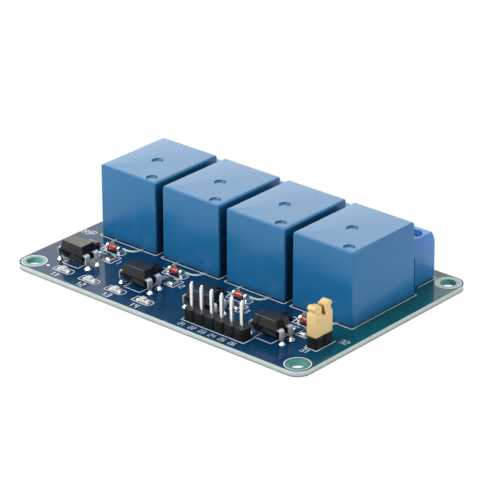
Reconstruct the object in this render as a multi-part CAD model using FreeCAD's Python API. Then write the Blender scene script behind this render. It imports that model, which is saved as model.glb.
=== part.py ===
import FreeCAD, Part

import math
import os

from FreeCAD import Vector

# Relay module board: four sealed relays, their driver parts and four screw terminal blocks on one
# circuit board. Millimetres. The origin is the centre of the four mounting holes on the board's
# underside, +Z is up, +X runs along the board and +Y points to the screw terminals.

# Circuit board
board_length = 75.0
board_width = 51.0
board_thickness = 1.2
board_corner_r = 3.0
mounting_hole_d = 3.2
pin_hole_gap = 0.12
pin_protrusion = 1.8

# Flats that stand in for each rounded corner of a repeated piece
corner_steps = 3

# Isolation slot milled round the common pin of each relay
slot_width = 0.8
slot_half_span = 3.7
slot_front_r = 2.2
slot_reach = 2.35
slot_leg = 3.6

# Relay case
relay_count = 4
relay_width = 15.2
relay_length = 18.8
relay_height = 15.3
relay_gap = 1.73
relay_standoff = 0.2
relay_y = 4.6
cover_wall = 0.8
cover_roof = 0.8
cover_draft = 0.15
cover_corner_r = 0.8
cover_edge_r = 0.5
dimple_d = 2.4
dimple_depth = 0.25
dimple_sides = 12
gate_offset_y = 0.5
vent_offset_x = 5.05
vent_inset_y = 1.9
relay_base_t = 1.8
base_gap = 0.05

# Relay pins
com_inset = 2.4
contact_inset = 2.2
relay_pin_inset = 1.6
coil_pin_step = 2.0
blade_pin_t = 0.5
blade_pin_w = 1.0
coil_pin_side = 0.6
coil_pin_rise = 2.5

# Relay magnet; the shares are parts of the length that is left for the coil
yoke_t = 1.1
yoke_share = 0.95
bobbin_gap = 0.15
flange_t = 0.8
flange_pin_room = 0.4
bobbin_tube_t = 0.65
core_share = 0.383
core_fit = 0.05
pole_share = 0.7
pole_t = 0.9
winding_inset = 0.25
coil_room = 2.2
coil_sides = 10

# Relay armature and contacts
open_angle = 2.5
hinge_gap = 0.05
armature_t = 0.9
armature_overhang = 1.0
blade_t = 0.25
blade_width = 4.0
blade_tail = 4.0
blade_tail_gap = 0.4
contact_d = 2.0
contact_h = 0.35
contact_gap = 0.05
contact_sides = 8
tab_width = 2.2
tab_t = 0.5
tab_past_centre = 1.2
roof_gap = 0.4

# Screw terminal blocks
block_count = 4
poles_per_block = 3
pole_pitch = 5.08
block_end_wall = 0.08
block_spacing_gap = 0.1
block_gap = 1.1
block_depth = 7.7
block_height = 10.2
block_foot_inset = 0.3
block_foot_height = 1.5
block_shoulder_height = 7.3
block_top_inset = 0.95
block_round_turn = 0.6
interlock_width = 1.2
interlock_neck = 0.7
interlock_depth = 0.5
interlock_height = 6.3
interlock_inset = 1.1
interlock_fit = 0.1

# Chambers of a terminal pole
screw_from_front = 3.8
well_d = 3.8
well_depth = 2.6
shelf_t = 0.7
shelf_hole_d = 2.8
chamber_width = 4.2
chamber_floor = 0.4
chamber_depth = 4.1
contact_pocket_depth = 1.0
contact_pocket_width = 2.9
entry_width = 3.6
entry_height = 3.2
entry_sill = 0.8

# Screw, cage and contact of a terminal pole
screw_head_d = 3.5
screw_head_h = 1.4
screw_seat_gap = 0.05
screw_shank_d = 2.5
head_sides = 14
shank_sides = 8
well_sides = 16
drive_slot_width = 0.6
drive_slot_depth = 0.7
cage_side_gap = 0.12
cage_length = 3.8
cage_wall = 0.5
cage_top_t = 0.9
cage_rest_gap = 0.12
cage_travel = 2.0
cage_stop_gap = 0.1
cage_bore_gap = 0.06
contact_t = 0.5
contact_side_gap = 0.15
contact_end_gap = 0.2
screw_tip_gap = 0.12
terminal_pin_w = 1.0

# Pin headers
header_pitch = 2.54
header_count = 6
header_x = 13.4
header_y = -21.2
header_height = 2.4
header_depth = 2.5
header_notch = 0.45
header_pin_side = 0.64
header_pin_top = 7.75
header_pin_taper = 0.5
header_pin_tip_side = 0.32
jumper_positions = 2
jumper_x = 32.42
jumper_y = -13.8

# Jumper cap
cap_width = 2.4
cap_length = 4.9
cap_top = 8.7
cap_shoulder = 6.9
cap_shoulder_step = 0.3
cap_waist = 0.27
cap_waist_height = 7.35
cap_lobe_flare = 0.12
cap_lobe_crown = 0.45
cap_lobe_fall = 0.4
cap_wall = 0.55
cap_roof = 0.35
cap_slot_width = 0.95
cap_slot_floor = 6.4
clip_t = 0.2
clip_fit = 0.04
clip_roof_gap = 0.15

# Optocouplers
opto_offset_x = -2.13
opto_y = -17.05
opto_body_x = 6.2
opto_body_y = 4.1
opto_body_z = 3.5
opto_standoff = 1.0
opto_draft = 0.42
opto_row_spacing = 7.62
opto_lead_pitch = 2.54
opto_lead_t = 0.25
opto_lead_wide = 1.2
opto_lead_narrow = 0.5
opto_lead_neck = 1.0
opto_dot_d = 0.8
opto_dot_depth = 0.1
opto_dot_inset = 0.95

# Flats of the smallest round shapes
small_sides = 8

# Diodes: a glass barrel between two metal caps
diode_offset_x = -0.17
diode_y = -8.9
diode_length = 3.5
diode_glass_d = 1.4
diode_cap_d = 1.5
diode_cap_length = 0.5
diode_sides = 12

# Transistors
transistor_offset_x = -5.0
transistor_y = -10.0
transistor_x = 2.9
transistor_depth = 1.3
transistor_height = 1.0
transistor_lift = 0.1
transistor_draft = 0.1
transistor_lead_rise = 0.43
transistor_lead_t = 0.12
transistor_lead_w = 0.42
transistor_lead_reach = 0.55
transistor_lead_step = 0.95

# Chip resistors, one across and one along the board for each channel
chip_length = 2.0
chip_width = 1.25
chip_height = 0.55
chip_end = 0.4
chip_end_wrap = 0.02
chip_a_offset_x = 2.15
chip_a_y = -12.1
chip_b_offset_x = -1.9
chip_b_y = -12.2

# Indicator lamps
lamp_places_x = (-26.9, -19.85, -12.7, -5.35)
lamp_y = -21.75
lamp_length = 2.0
lamp_width = 1.25
lamp_base_h = 0.33
lamp_dome_h = 0.47
lamp_dome_inset = 0.3
lamp_dome_top_inset = 0.2

board_top = board_thickness
pin_tip = -pin_protrusion
relay_pitch = relay_width + relay_gap


def box(x0, x1, y0, y1, z0, z1):
    return Part.makeBox(x1 - x0, y1 - y0, z1 - z0, Vector(x0, y0, z0))


def centred_box(cx, cy, size_x, size_y, z0, z1):
    return box(cx - size_x / 2, cx + size_x / 2, cy - size_y / 2, cy + size_y / 2, z0, z1)


def cylinder(cx, cy, radius, z0, z1):
    return Part.makeCylinder(radius, z1 - z0, Vector(cx, cy, z0))


def many_sided(cx, cy, radius, sides, z0, z1):
    # A bar with flats, for round pieces that nobody sees; the flats lie on the radius.
    corner_r = radius / math.cos(math.pi / sides)
    turns = [2 * math.pi * (i + 0.5) / sides for i in range(sides)]
    points = [Vector(cx + corner_r * math.cos(a), cy + corner_r * math.sin(a), z0) for a in turns]
    return extrude(points, Vector(0, 0, z1 - z0))


def extrude(points, along):
    wire = Part.makePolygon(points + [points[0]])
    return Part.Face(wire).extrude(along)


def outline(start, steps):
    # A closed wire from a start point. A step is a point, or a pair of points for an arc.
    edges = []
    here = start
    for step in steps + [start]:
        if isinstance(step, tuple):
            edges.append(Part.Arc(here, step[0], step[1]).toShape())
            here = step[1]
        elif step.distanceToPoint(here) > 1e-7:
            edges.append(Part.makeLine(here, step))
            here = step
    return Part.Wire(edges)


def fuse_all(shapes):
    first = shapes[0]
    if len(shapes) == 1:
        return first
    return first.multiFuse(shapes[1:]).removeSplitter()


def stack_rings(rings):
    # A solid through rings of the same number of points, the first and last closed by flat ends.
    faces = [Part.Face(Part.makePolygon(ring + [ring[0]])) for ring in (rings[0], rings[-1])]
    for low, high in zip(rings, rings[1:]):
        for i in range(len(low)):
            j = (i + 1) % len(low)
            faces.append(Part.Face(Part.makePolygon([low[i], low[j], high[j], high[i], low[i]])))
    return Part.makeSolid(Part.makeShell(faces))


def cornered_ring(cx, cy, size_x, size_y, corner_r, z):
    # A rectangle at height z whose corners are cut in short flats along an arc.
    points = []
    for quarter, (sx, sy) in enumerate(((1, 1), (-1, 1), (-1, -1), (1, -1))):
        mid_x = cx + sx * (size_x / 2 - corner_r)
        mid_y = cy + sy * (size_y / 2 - corner_r)
        for step in range(corner_steps + 1):
            turn = math.pi / 2 * (quarter + step / corner_steps)
            x = mid_x + corner_r * math.cos(turn)
            y = mid_y + corner_r * math.sin(turn)
            points.append(Vector(x, y, z))
    return points


def drafted_box(cx, cy, size_x, size_y, z0, z1, inset_low, inset_high):
    # A block whose four sides lean in by the insets at its lower and upper ends.
    def ring(inset, z):
        dx = size_x / 2 - inset
        dy = size_y / 2 - inset
        corners = [(dx, dy), (-dx, dy), (-dx, -dy), (dx, -dy)]
        return [Vector(cx + x, cy + y, z) for x, y in corners]
    return stack_rings([ring(inset_low, z0), ring(inset_high, z1)])


def edges_where(shape, test):
    return [edge for edge in shape.Edges if test(edge.BoundBox)]


# Places on the board

def relay_centres():
    return [(i - (relay_count - 1) / 2) * relay_pitch for i in range(relay_count)]


def relay_pin_places(cx):
    # Name, x, y, size along x and size along y of each of a relay's five pins.
    pin_x = relay_width / 2 - relay_pin_inset
    com_y = relay_y - relay_length / 2 + com_inset
    coil_y = com_y + coil_pin_step
    contact_y = relay_y + relay_length / 2 - contact_inset
    return [
        ("com", cx, com_y, blade_pin_w, blade_pin_t),
        ("coil_left", cx - pin_x, coil_y, coil_pin_side, coil_pin_side),
        ("coil_right", cx + pin_x, coil_y, coil_pin_side, coil_pin_side),
        ("open", cx - pin_x, contact_y, blade_pin_t, blade_pin_w),
        ("closed", cx + pin_x, contact_y, blade_pin_t, blade_pin_w),
    ]


def block_width():
    return poles_per_block * pole_pitch + 2 * block_end_wall


def block_centres():
    step = block_width() + block_spacing_gap
    return [(i - (block_count - 1) / 2) * step for i in range(block_count)]


def block_front():
    return relay_y + relay_length / 2 + block_gap


def pole_centres():
    offsets = [(k - (poles_per_block - 1) / 2) * pole_pitch for k in range(poles_per_block)]
    return [cx + offset for cx in block_centres() for offset in offsets]


def chamber_front():
    return block_front() + screw_from_front - cage_length / 2 - cage_side_gap


def contact_leg_back():
    # The contact's leg stands in its pocket, just in front of the cage.
    return chamber_front() - contact_side_gap


def header_places():
    first = header_x - (header_count - 1) / 2 * header_pitch
    return [(first + k * header_pitch, header_y) for k in range(header_count)]


def jumper_places():
    first = jumper_y - (jumper_positions - 1) / 2 * header_pitch
    return [(jumper_x, first + k * header_pitch) for k in range(jumper_positions)]


def opto_lead_places(cx):
    x_row = opto_row_spacing / 2
    y_row = opto_lead_pitch / 2
    signs = [(-1, -1), (-1, 1), (1, -1), (1, 1)]
    return [(cx + opto_offset_x + sx * x_row, opto_y + sy * y_row, sx) for sx, sy in signs]


# Circuit board

def isolation_slot(cx):
    front = relay_y - relay_length / 2 - slot_reach
    leg_end = front + slot_leg + slot_front_r

    def side_points(grow):
        # Down the left leg, round the front and up the right leg.
        points = [Vector(cx - slot_half_span - grow, leg_end, 0)]
        for side in (-1, 1):
            mid_x = cx + side * (slot_half_span - slot_front_r)
            for step in range(corner_steps + 1):
                turn = math.pi / 2 * step / corner_steps
                if side > 0:
                    turn = math.pi / 2 - turn
                x = mid_x + side * (slot_front_r + grow) * math.cos(turn)
                y = front + slot_front_r - (slot_front_r + grow) * math.sin(turn)
                points.append(Vector(x, y, 0))
        points.append(Vector(cx + slot_half_span + grow, leg_end, 0))
        return points

    outside = side_points(slot_width / 2)
    inside = side_points(-slot_width / 2)
    return extrude(outside + inside[::-1], Vector(0, 0, board_thickness))


def board_pin_holes():
    holes = []

    def hole(x, y, size_x, size_y):
        side_x = size_x + 2 * pin_hole_gap
        side_y = size_y + 2 * pin_hole_gap
        holes.append(centred_box(x, y, side_x, side_y, 0, board_thickness))

    for cx in relay_centres():
        for _, x, y, size_x, size_y in relay_pin_places(cx):
            hole(x, y, size_x, size_y)
        for x, y, _ in opto_lead_places(cx):
            hole(x, y, opto_lead_t, opto_lead_narrow)
    for x in pole_centres():
        hole(x, contact_leg_back() - contact_t / 2, terminal_pin_w, contact_t)
    for x, y in header_places() + jumper_places():
        hole(x, y, header_pin_side, header_pin_side)
    return holes


def circuit_board():
    board = centred_box(0, 0, board_length, board_width, 0, board_thickness)
    upright = edges_where(board, lambda b: b.ZLength > board_thickness / 2)
    board = board.makeFillet(board_corner_r, upright)
    # The mounting holes are centred in the rounded corners.
    cuts = []
    for sx in (-1, 1):
        for sy in (-1, 1):
            x = sx * (board_length / 2 - board_corner_r)
            y = sy * (board_width / 2 - board_corner_r)
            cuts.append(cylinder(x, y, mounting_hole_d / 2, 0, board_thickness))
    cuts += [isolation_slot(cx) for cx in relay_centres()]
    return board.cut(cuts + board_pin_holes())


# Relay

def relay_floor():
    return board_top + relay_standoff


def relay_roof():
    return relay_floor() + relay_height - cover_roof


def relay_cover(cx):
    z0 = relay_floor()
    z1 = z0 + relay_height
    edge_start = z1 - cover_edge_r

    def ring(inset, z):
        size_x = relay_width - 2 * inset
        size_y = relay_length - 2 * inset
        return cornered_ring(cx, relay_y, size_x, size_y, cover_corner_r, z)

    bend = cover_edge_r * (1 - math.sqrt(0.5))
    shell = stack_rings([
        ring(0, z0),
        ring(cover_draft, edge_start),
        ring(cover_draft + bend, z1 - bend),
        ring(cover_draft + cover_edge_r, z1),
    ])
    inner_x = relay_width - 2 * cover_wall
    inner_y = relay_length - 2 * cover_wall
    cavity = drafted_box(cx, relay_y, inner_x, inner_y, z0, relay_roof(), 0, cover_draft)
    dimple_low = z1 - dimple_depth
    vent_y = relay_y - relay_length / 2 + vent_inset_y
    middle = many_sided(cx, relay_y - gate_offset_y, dimple_d / 2, dimple_sides, dimple_low, z1)
    vent = many_sided(cx + vent_offset_x, vent_y, dimple_d / 2, dimple_sides, dimple_low, z1)
    return shell.cut([cavity, middle, vent])


def relay_base(cx):
    size_x = relay_width - 2 * (cover_wall + cover_draft + base_gap)
    size_y = relay_length - 2 * (cover_wall + cover_draft + base_gap)
    top = relay_floor() + relay_base_t
    plate = centred_box(cx, relay_y, size_x, size_y, relay_floor(), top)
    holes = []
    for _, x, y, pin_x, pin_y in relay_pin_places(cx):
        holes.append(centred_box(x, y, pin_x, pin_y, relay_floor(), top))
    return plate.cut(holes)


def magnet_places():
    # Heights and depths that the magnet, the armature and the contacts share.
    com_y = relay_y - relay_length / 2 + com_inset
    contact_y = relay_y + relay_length / 2 - contact_inset
    hinge_y = com_y + blade_pin_t / 2
    coil_start = hinge_y + yoke_t + bobbin_gap
    coil_end = contact_y - tab_width / 2 - coil_room
    rise = (contact_y - hinge_y + contact_d / 2) * math.sin(math.radians(open_angle))
    moving_stack = armature_t + blade_t + contact_h + rise
    fixed_stack = contact_gap + contact_h + tab_t + roof_gap
    pole_z = relay_roof() - hinge_gap - moving_stack - fixed_stack
    coil_size = coil_end - coil_start
    return {
        "contact_y": contact_y,
        "hinge_y": hinge_y,
        "hinge_z": pole_z + hinge_gap,
        "coil_y": (coil_start + coil_end) / 2,
        "coil_size": coil_size,
        "core_r": core_share * coil_size / 2,
        "pole_r": pole_share * coil_size / 2,
        "pole_z": pole_z,
        "foot_z": relay_floor() + relay_base_t,
        "yoke_width": yoke_share * coil_size,
    }


def relay_yoke(cx):
    at = magnet_places()
    half = at["yoke_width"] / 2
    foot_top = at["foot_z"] + yoke_t
    foot_end = at["coil_y"] + at["pole_r"]
    profile = [
        Vector(cx - half, at["hinge_y"], at["foot_z"]),
        Vector(cx - half, foot_end, at["foot_z"]),
        Vector(cx - half, foot_end, foot_top),
        Vector(cx - half, at["hinge_y"] + yoke_t, foot_top),
        Vector(cx - half, at["hinge_y"] + yoke_t, at["pole_z"]),
        Vector(cx - half, at["hinge_y"], at["pole_z"]),
    ]
    frame = extrude(profile, Vector(at["yoke_width"], 0, 0))
    rivet_r = at["core_r"] - core_fit
    hole = many_sided(cx, at["coil_y"], rivet_r, coil_sides, at["foot_z"], foot_top)
    return frame.cut(hole)


def relay_core(cx):
    at = magnet_places()
    foot_top = at["foot_z"] + yoke_t
    pole_low = at["pole_z"] - pole_t
    rivet_r = at["core_r"] - core_fit
    parts = [
        many_sided(cx, at["coil_y"], rivet_r, coil_sides, at["foot_z"], foot_top),
        many_sided(cx, at["coil_y"], at["core_r"], coil_sides, foot_top, pole_low),
        many_sided(cx, at["coil_y"], at["pole_r"], coil_sides, pole_low, at["pole_z"]),
    ]
    return fuse_all(parts)


def relay_bobbin(cx):
    at = magnet_places()
    low = at["foot_z"] + yoke_t
    high = at["pole_z"] - pole_t
    pin_x = relay_width / 2 - relay_pin_inset
    size_x = 2 * (pin_x - coil_pin_side / 2 - flange_pin_room)
    tube_r = at["core_r"] + core_fit + bobbin_tube_t
    y = at["coil_y"]
    parts = [
        centred_box(cx, y, size_x, at["coil_size"], low, low + flange_t),
        centred_box(cx, y, size_x, at["coil_size"], high - flange_t, high),
        many_sided(cx, y, tube_r, coil_sides, low + flange_t, high - flange_t),
    ]
    bore = many_sided(cx, y, at["core_r"] + core_fit, coil_sides, low, high)
    return fuse_all(parts).cut(bore)


def relay_winding(cx):
    at = magnet_places()
    low = at["foot_z"] + yoke_t + flange_t
    high = at["pole_z"] - pole_t - flange_t
    y = at["coil_y"]
    outer = many_sided(cx, y, at["coil_size"] / 2 - winding_inset, coil_sides, low, high)
    inner_r = at["core_r"] + core_fit + bobbin_tube_t
    return outer.cut(many_sided(cx, y, inner_r, coil_sides, low, high))


def open_up(shape, cx):
    # Turns a piece from the pulled-in place to the open rest place about the hinge edge.
    at = magnet_places()
    turned = shape.copy()
    turned.rotate(Vector(cx, at["hinge_y"], at["hinge_z"]), Vector(1, 0, 0), open_angle)
    return turned


def relay_armature(cx):
    at = magnet_places()
    end = at["coil_y"] + at["pole_r"] + armature_overhang
    half = at["yoke_width"] / 2
    top = at["hinge_z"] + armature_t
    return open_up(box(cx - half, cx + half, at["hinge_y"], end, at["hinge_z"], top), cx)


def relay_contact_spring(cx):
    at = magnet_places()
    low = at["hinge_z"] + armature_t
    high = low + blade_t
    tail_in = at["hinge_y"] - blade_tail_gap
    tail_out = tail_in - blade_t
    tip = at["contact_y"] + contact_d / 2
    x = cx - blade_width / 2
    profile = [
        Vector(x, tail_out, high - blade_tail),
        Vector(x, tail_in, high - blade_tail),
        Vector(x, tail_in, low),
        Vector(x, tip, low),
        Vector(x, tip, high),
        Vector(x, tail_out, high),
    ]
    blade = extrude(profile, Vector(blade_width, 0, 0))
    y = at["contact_y"]
    button = many_sided(cx, y, contact_d / 2, contact_sides, low - contact_h, high + contact_h)
    return open_up(fuse_all([blade, button]), cx)


def fixed_contact(cx, x, y, tab_low, button_side):
    # A post from its pin tip to a tab that reaches over the relay's middle line.
    inward = 1 if x < cx else -1
    post = centred_box(x, y, blade_pin_t, blade_pin_w, pin_tip, tab_low + tab_t)
    outer = x - inward * blade_pin_t / 2
    inner = cx + inward * tab_past_centre
    low_x = min(outer, inner)
    high_x = max(outer, inner)
    tab = box(low_x, high_x, y - tab_width / 2, y + tab_width / 2, tab_low, tab_low + tab_t)
    if button_side > 0:
        span = (tab_low + tab_t, tab_low + tab_t + contact_h)
    else:
        span = (tab_low - contact_h, tab_low)
    button = many_sided(cx, y, contact_d / 2, contact_sides, span[0], span[1])
    return fuse_all([post, tab, button])


def relay_terminals(cx):
    at = magnet_places()
    closed_tab_low = relay_roof() - roof_gap - tab_t
    open_button_top = at["hinge_z"] + armature_t - contact_h - contact_gap
    open_tab_low = open_button_top - contact_h - tab_t
    base_top = relay_floor() + relay_base_t
    solids = []
    for name, x, y, size_x, size_y in relay_pin_places(cx):
        if name == "open":
            solids.append(fixed_contact(cx, x, y, open_tab_low, 1))
        elif name == "closed":
            solids.append(fixed_contact(cx, x, y, closed_tab_low, -1))
        else:
            solids.append(centred_box(x, y, size_x, size_y, pin_tip, base_top + coil_pin_rise))
    return solids


# Screw terminal block

def shelf_top():
    return board_top + block_height - well_depth


def chamber_top():
    return shelf_top() - shelf_t


def cage_heights():
    # Floor, window ceiling and top of a cage at rest, and the contact plate above the wire gap.
    bottom = board_top + chamber_floor + cage_rest_gap
    plate_low = bottom + cage_wall + cage_travel + cage_stop_gap
    plate_high = plate_low + contact_t
    ceiling = plate_high + cage_stop_gap
    return {
        "bottom": bottom,
        "plate_low": plate_low,
        "plate_high": plate_high,
        "ceiling": ceiling,
        "top": ceiling + cage_top_t,
    }


def block_profile(cx):
    x = cx - block_width() / 2
    y = block_front()
    back = y + block_depth
    top = board_top + block_height
    shoulder = board_top + block_shoulder_height
    points = [
        Vector(x, y, board_top),
        Vector(x, back - block_foot_inset, board_top),
        Vector(x, back, board_top + block_foot_height),
        Vector(x, back, shoulder),
    ]
    for step in range(1, corner_steps + 1):
        # An ellipse's quarter, stopped short of its flat end.
        turn = block_round_turn * step / corner_steps
        points.append(Vector(
            x,
            back - block_top_inset * (1 - math.cos(turn)) / (1 - math.cos(block_round_turn)),
            shoulder + (top - shoulder) * math.sin(turn) / math.sin(block_round_turn),
        ))
    points.append(Vector(x, y, top))
    return extrude(points, Vector(block_width(), 0, 0))


def interlock(side_x, y, grow):
    # A dovetail bar that stands out of a block's end towards -X.
    half = interlock_width / 2 + grow
    reach = interlock_depth + grow
    neck = half * interlock_neck
    points = [
        Vector(side_x, y - neck, board_top),
        Vector(side_x - reach, y - half, board_top),
        Vector(side_x - reach, y + half, board_top),
        Vector(side_x, y + neck, board_top),
    ]
    return extrude(points, Vector(0, 0, interlock_height + grow))


def terminal_housing(cx):
    front = block_front()
    top = board_top + block_height
    axis_y = front + screw_from_front
    chamber_y = chamber_front()
    low = board_top + chamber_floor
    body = block_profile(cx)
    cuts = []
    for k in range(poles_per_block):
        x = cx + (k - (poles_per_block - 1) / 2) * pole_pitch
        cuts.append(many_sided(x, axis_y, well_d / 2, well_sides, shelf_top(), top))
        hole_r = shelf_hole_d / 2
        cuts.append(many_sided(x, axis_y, hole_r, shank_sides, chamber_top(), shelf_top()))
        half = chamber_width / 2
        chamber_back = chamber_y + chamber_depth
        cuts.append(box(x - half, x + half, chamber_y, chamber_back, low, chamber_top()))
        half = contact_pocket_width / 2
        pocket_y = chamber_y - contact_pocket_depth
        cuts.append(box(x - half, x + half, pocket_y, chamber_y, low, chamber_top()))
        leg_y = contact_leg_back() - contact_t / 2
        gap = 2 * contact_side_gap
        cuts.append(centred_box(x, leg_y, terminal_pin_w + gap, contact_t + gap, board_top, low))
        half = entry_width / 2
        sill = board_top + entry_sill
        end = front + block_depth
        cuts.append(box(x - half, x + half, chamber_back, end, sill, sill + entry_height))
    left = cx - block_width() / 2
    right = cx + block_width() / 2
    rail = interlock(left, front + interlock_inset, 0)
    groove = interlock(right, front + interlock_inset, interlock_fit)
    return fuse_all([body, rail]).cut(cuts + [groove])


def clamp_screw(x):
    y = block_front() + screw_from_front
    seat = shelf_top() + screw_seat_gap
    head_top = seat + screw_head_h
    tip = cage_heights()["plate_high"] + screw_tip_gap
    head = many_sided(x, y, screw_head_d / 2, head_sides, seat, head_top)
    slot_low = head_top - drive_slot_depth
    slot = centred_box(x, y, screw_head_d, drive_slot_width, slot_low, head_top)
    shank = many_sided(x, y, screw_shank_d / 2, shank_sides, tip, seat)
    return fuse_all([head.cut(slot), shank])


def clamp_cage(x):
    at = cage_heights()
    y = block_front() + screw_from_front
    size_x = chamber_width - 2 * cage_side_gap
    outer = centred_box(x, y, size_x, cage_length, at["bottom"], at["top"])
    floor = at["bottom"] + cage_wall
    window = centred_box(x, y, size_x - 2 * cage_wall, cage_length, floor, at["ceiling"])
    corner_r = screw_shank_d / 2 / math.cos(math.pi / shank_sides)
    bore_r = corner_r + cage_bore_gap
    bore = many_sided(x, y, bore_r, shank_sides, at["ceiling"], at["top"])
    return outer.cut([window, bore])


def terminal_contact(x):
    # A plate in the cage window, its leg in the pocket and its pin through the board.
    at = cage_heights()
    plate_width = chamber_width - 2 * cage_side_gap - 2 * cage_wall - 2 * contact_side_gap
    leg_back = contact_leg_back()
    plate_end = chamber_front() + chamber_depth - contact_end_gap
    low = board_top + chamber_floor
    leg_y = leg_back - contact_t / 2
    parts = [
        box(x - plate_width / 2, x + plate_width / 2, leg_back - contact_t, plate_end,
            at["plate_low"], at["plate_high"]),
        centred_box(x, leg_y, plate_width, contact_t, low, at["plate_high"]),
        centred_box(x, leg_y, terminal_pin_w, contact_t, pin_tip, low),
    ]
    return fuse_all(parts)


# Pin headers and jumper

def header_block(places, along_x):
    # Square cells in a row, with notched corners between neighbours.
    half_a = header_pitch / 2
    half_b = header_depth / 2
    n = header_notch
    cells = []
    ring = [(-half_a + n, -half_b), (half_a - n, -half_b), (half_a, -half_b + n),
            (half_a, half_b - n), (half_a - n, half_b), (-half_a + n, half_b),
            (-half_a, half_b - n), (-half_a, -half_b + n)]
    for x, y in places:
        if along_x:
            points = [Vector(x + a, y + b, board_top) for a, b in ring]
        else:
            points = [Vector(x + b, y + a, board_top) for a, b in ring]
        cells.append(extrude(points, Vector(0, 0, header_height)))
    holes = []
    for x, y in places:
        side = header_pin_side
        holes.append(centred_box(x, y, side, side, board_top, board_top + header_height))
    return fuse_all(cells).cut(holes)


def header_pin(x, y):
    top = board_top + header_pin_top
    shaft_top = top - header_pin_taper
    side = header_pin_side
    taper = (side - header_pin_tip_side) / 2
    shaft = centred_box(x, y, side, side, pin_tip + header_pin_taper, shaft_top)
    point_up = drafted_box(x, y, side, side, shaft_top, top, 0, taper)
    point_down = drafted_box(x, y, side, side, pin_tip, pin_tip + header_pin_taper, taper, 0)
    return fuse_all([shaft, point_up, point_down])


def cap_cavity_top():
    return board_top + cap_top - cap_lobe_fall - cap_roof


def cap_ears():
    # The thinner upper part: two ears with a waist, a rounded outer lobe and a fall to the slot.
    half = cap_length / 2
    low = board_top + cap_shoulder
    waist_z = board_top + cap_waist_height
    high = board_top + cap_top
    lobe_z = (waist_z + high) / 2
    thickness = cap_width - 2 * cap_shoulder_step

    def at(y, z):
        return Vector(jumper_x - thickness / 2, jumper_y + y, z)

    start = at(-half, low)
    steps = [
        at(half, low),
        at(half - cap_waist, waist_z),
        (at(half + cap_lobe_flare, lobe_z), at(half - cap_lobe_crown, high)),
        at(cap_slot_width / 2, high - cap_lobe_fall),
        at(-cap_slot_width / 2, high - cap_lobe_fall),
        at(-half + cap_lobe_crown, high),
        (at(-half - cap_lobe_flare, lobe_z), at(-half + cap_waist, waist_z)),
    ]
    return Part.Face(outline(start, steps)).extrude(Vector(thickness, 0, 0))


def jumper_cap():
    z0 = board_top + header_height
    shoulder = board_top + cap_shoulder
    lower = centred_box(jumper_x, jumper_y, cap_width, cap_length, z0, shoulder)
    inner_x = cap_width - 2 * cap_wall
    inner_y = cap_length - 2 * cap_wall
    cavity = centred_box(jumper_x, jumper_y, inner_x, inner_y, z0, cap_cavity_top())
    slot_low = board_top + cap_slot_floor
    high = board_top + cap_top
    slot = centred_box(jumper_x, jumper_y, cap_width, cap_slot_width, slot_low, high)
    return fuse_all([lower, cap_ears()]).cut([cavity, slot])


def jumper_clip():
    # Folded strip: two leaves that grip the pins, joined by a bridge on one side wall.
    z0 = board_top + header_height + clip_roof_gap
    z1 = cap_cavity_top() - clip_roof_gap
    inner_x = cap_width - 2 * cap_wall - 2 * clip_fit
    inner_y = cap_length - 2 * cap_wall - 2 * clip_fit
    grip = header_pin_side / 2 + clip_fit
    low_x = jumper_x - inner_x / 2
    high_x = jumper_x + inner_x / 2
    low_y = jumper_y - inner_y / 2
    high_y = jumper_y + inner_y / 2
    leaf_low = box(low_x, jumper_x - grip, low_y, high_y, z0, z1)
    leaf_high = box(jumper_x + grip, high_x, low_y, high_y, z0, z1)
    bridge = centred_box(jumper_x, jumper_y, inner_x, clip_t, z0, z1)
    return fuse_all([leaf_low, leaf_high, bridge])


# Small parts of a channel

def opto_body(cx):
    x = cx + opto_offset_x
    low = board_top + opto_standoff
    mid = low + opto_body_z / 2
    top = low + opto_body_z
    upper = drafted_box(x, opto_y, opto_body_x, opto_body_y, mid, top, 0, opto_draft)
    lower = drafted_box(x, opto_y, opto_body_x, opto_body_y, low, mid, opto_draft, 0)
    dot_x = x - opto_body_x / 2 + opto_draft + opto_dot_inset
    dot_y = opto_y - opto_body_y / 2 + opto_draft + opto_dot_inset
    dot_low = top - opto_dot_depth
    dot = many_sided(dot_x, dot_y, opto_dot_d / 2, small_sides, dot_low, top)
    return fuse_all([upper, lower]).cut(dot)


def opto_leads(cx):
    x_body = opto_body_x / 2
    parting = board_top + opto_standoff + opto_body_z / 2
    t = opto_lead_t
    neck = board_top + opto_lead_neck
    leads = []
    for x, y, side in opto_lead_places(cx):
        inner = cx + opto_offset_x + side * x_body
        outer = x + side * t / 2
        wall = x - side * t / 2
        bend = side * t
        start_y = y - opto_lead_wide / 2
        profile = [
            Vector(inner, start_y, parting - t / 2),
            Vector(wall, start_y, parting - t / 2),
            Vector(wall, start_y, neck),
            Vector(outer, start_y, neck),
            Vector(outer, start_y, parting - t / 2),
            Vector(outer - bend, start_y, parting + t / 2),
            Vector(inner, start_y, parting + t / 2),
        ]
        shoulder = extrude(profile, Vector(0, opto_lead_wide, 0))
        tail = centred_box(x, y, t, opto_lead_narrow, pin_tip, neck)
        leads.append(fuse_all([shoulder, tail]))
    return leads


def lying_bar(x0, x1, y, z, radius):
    turns = [2 * math.pi * (i + 0.5) / diode_sides for i in range(diode_sides)]
    points = [Vector(x0, y + radius * math.cos(a), z + radius * math.sin(a)) for a in turns]
    return extrude(points, Vector(x1 - x0, 0, 0))


def diode_axis_z():
    return board_top + diode_cap_d / 2


def diode_glass(cx):
    half = diode_length / 2 - diode_cap_length
    x = cx + diode_offset_x
    return lying_bar(x - half, x + half, diode_y, diode_axis_z(), diode_glass_d / 2)


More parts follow.
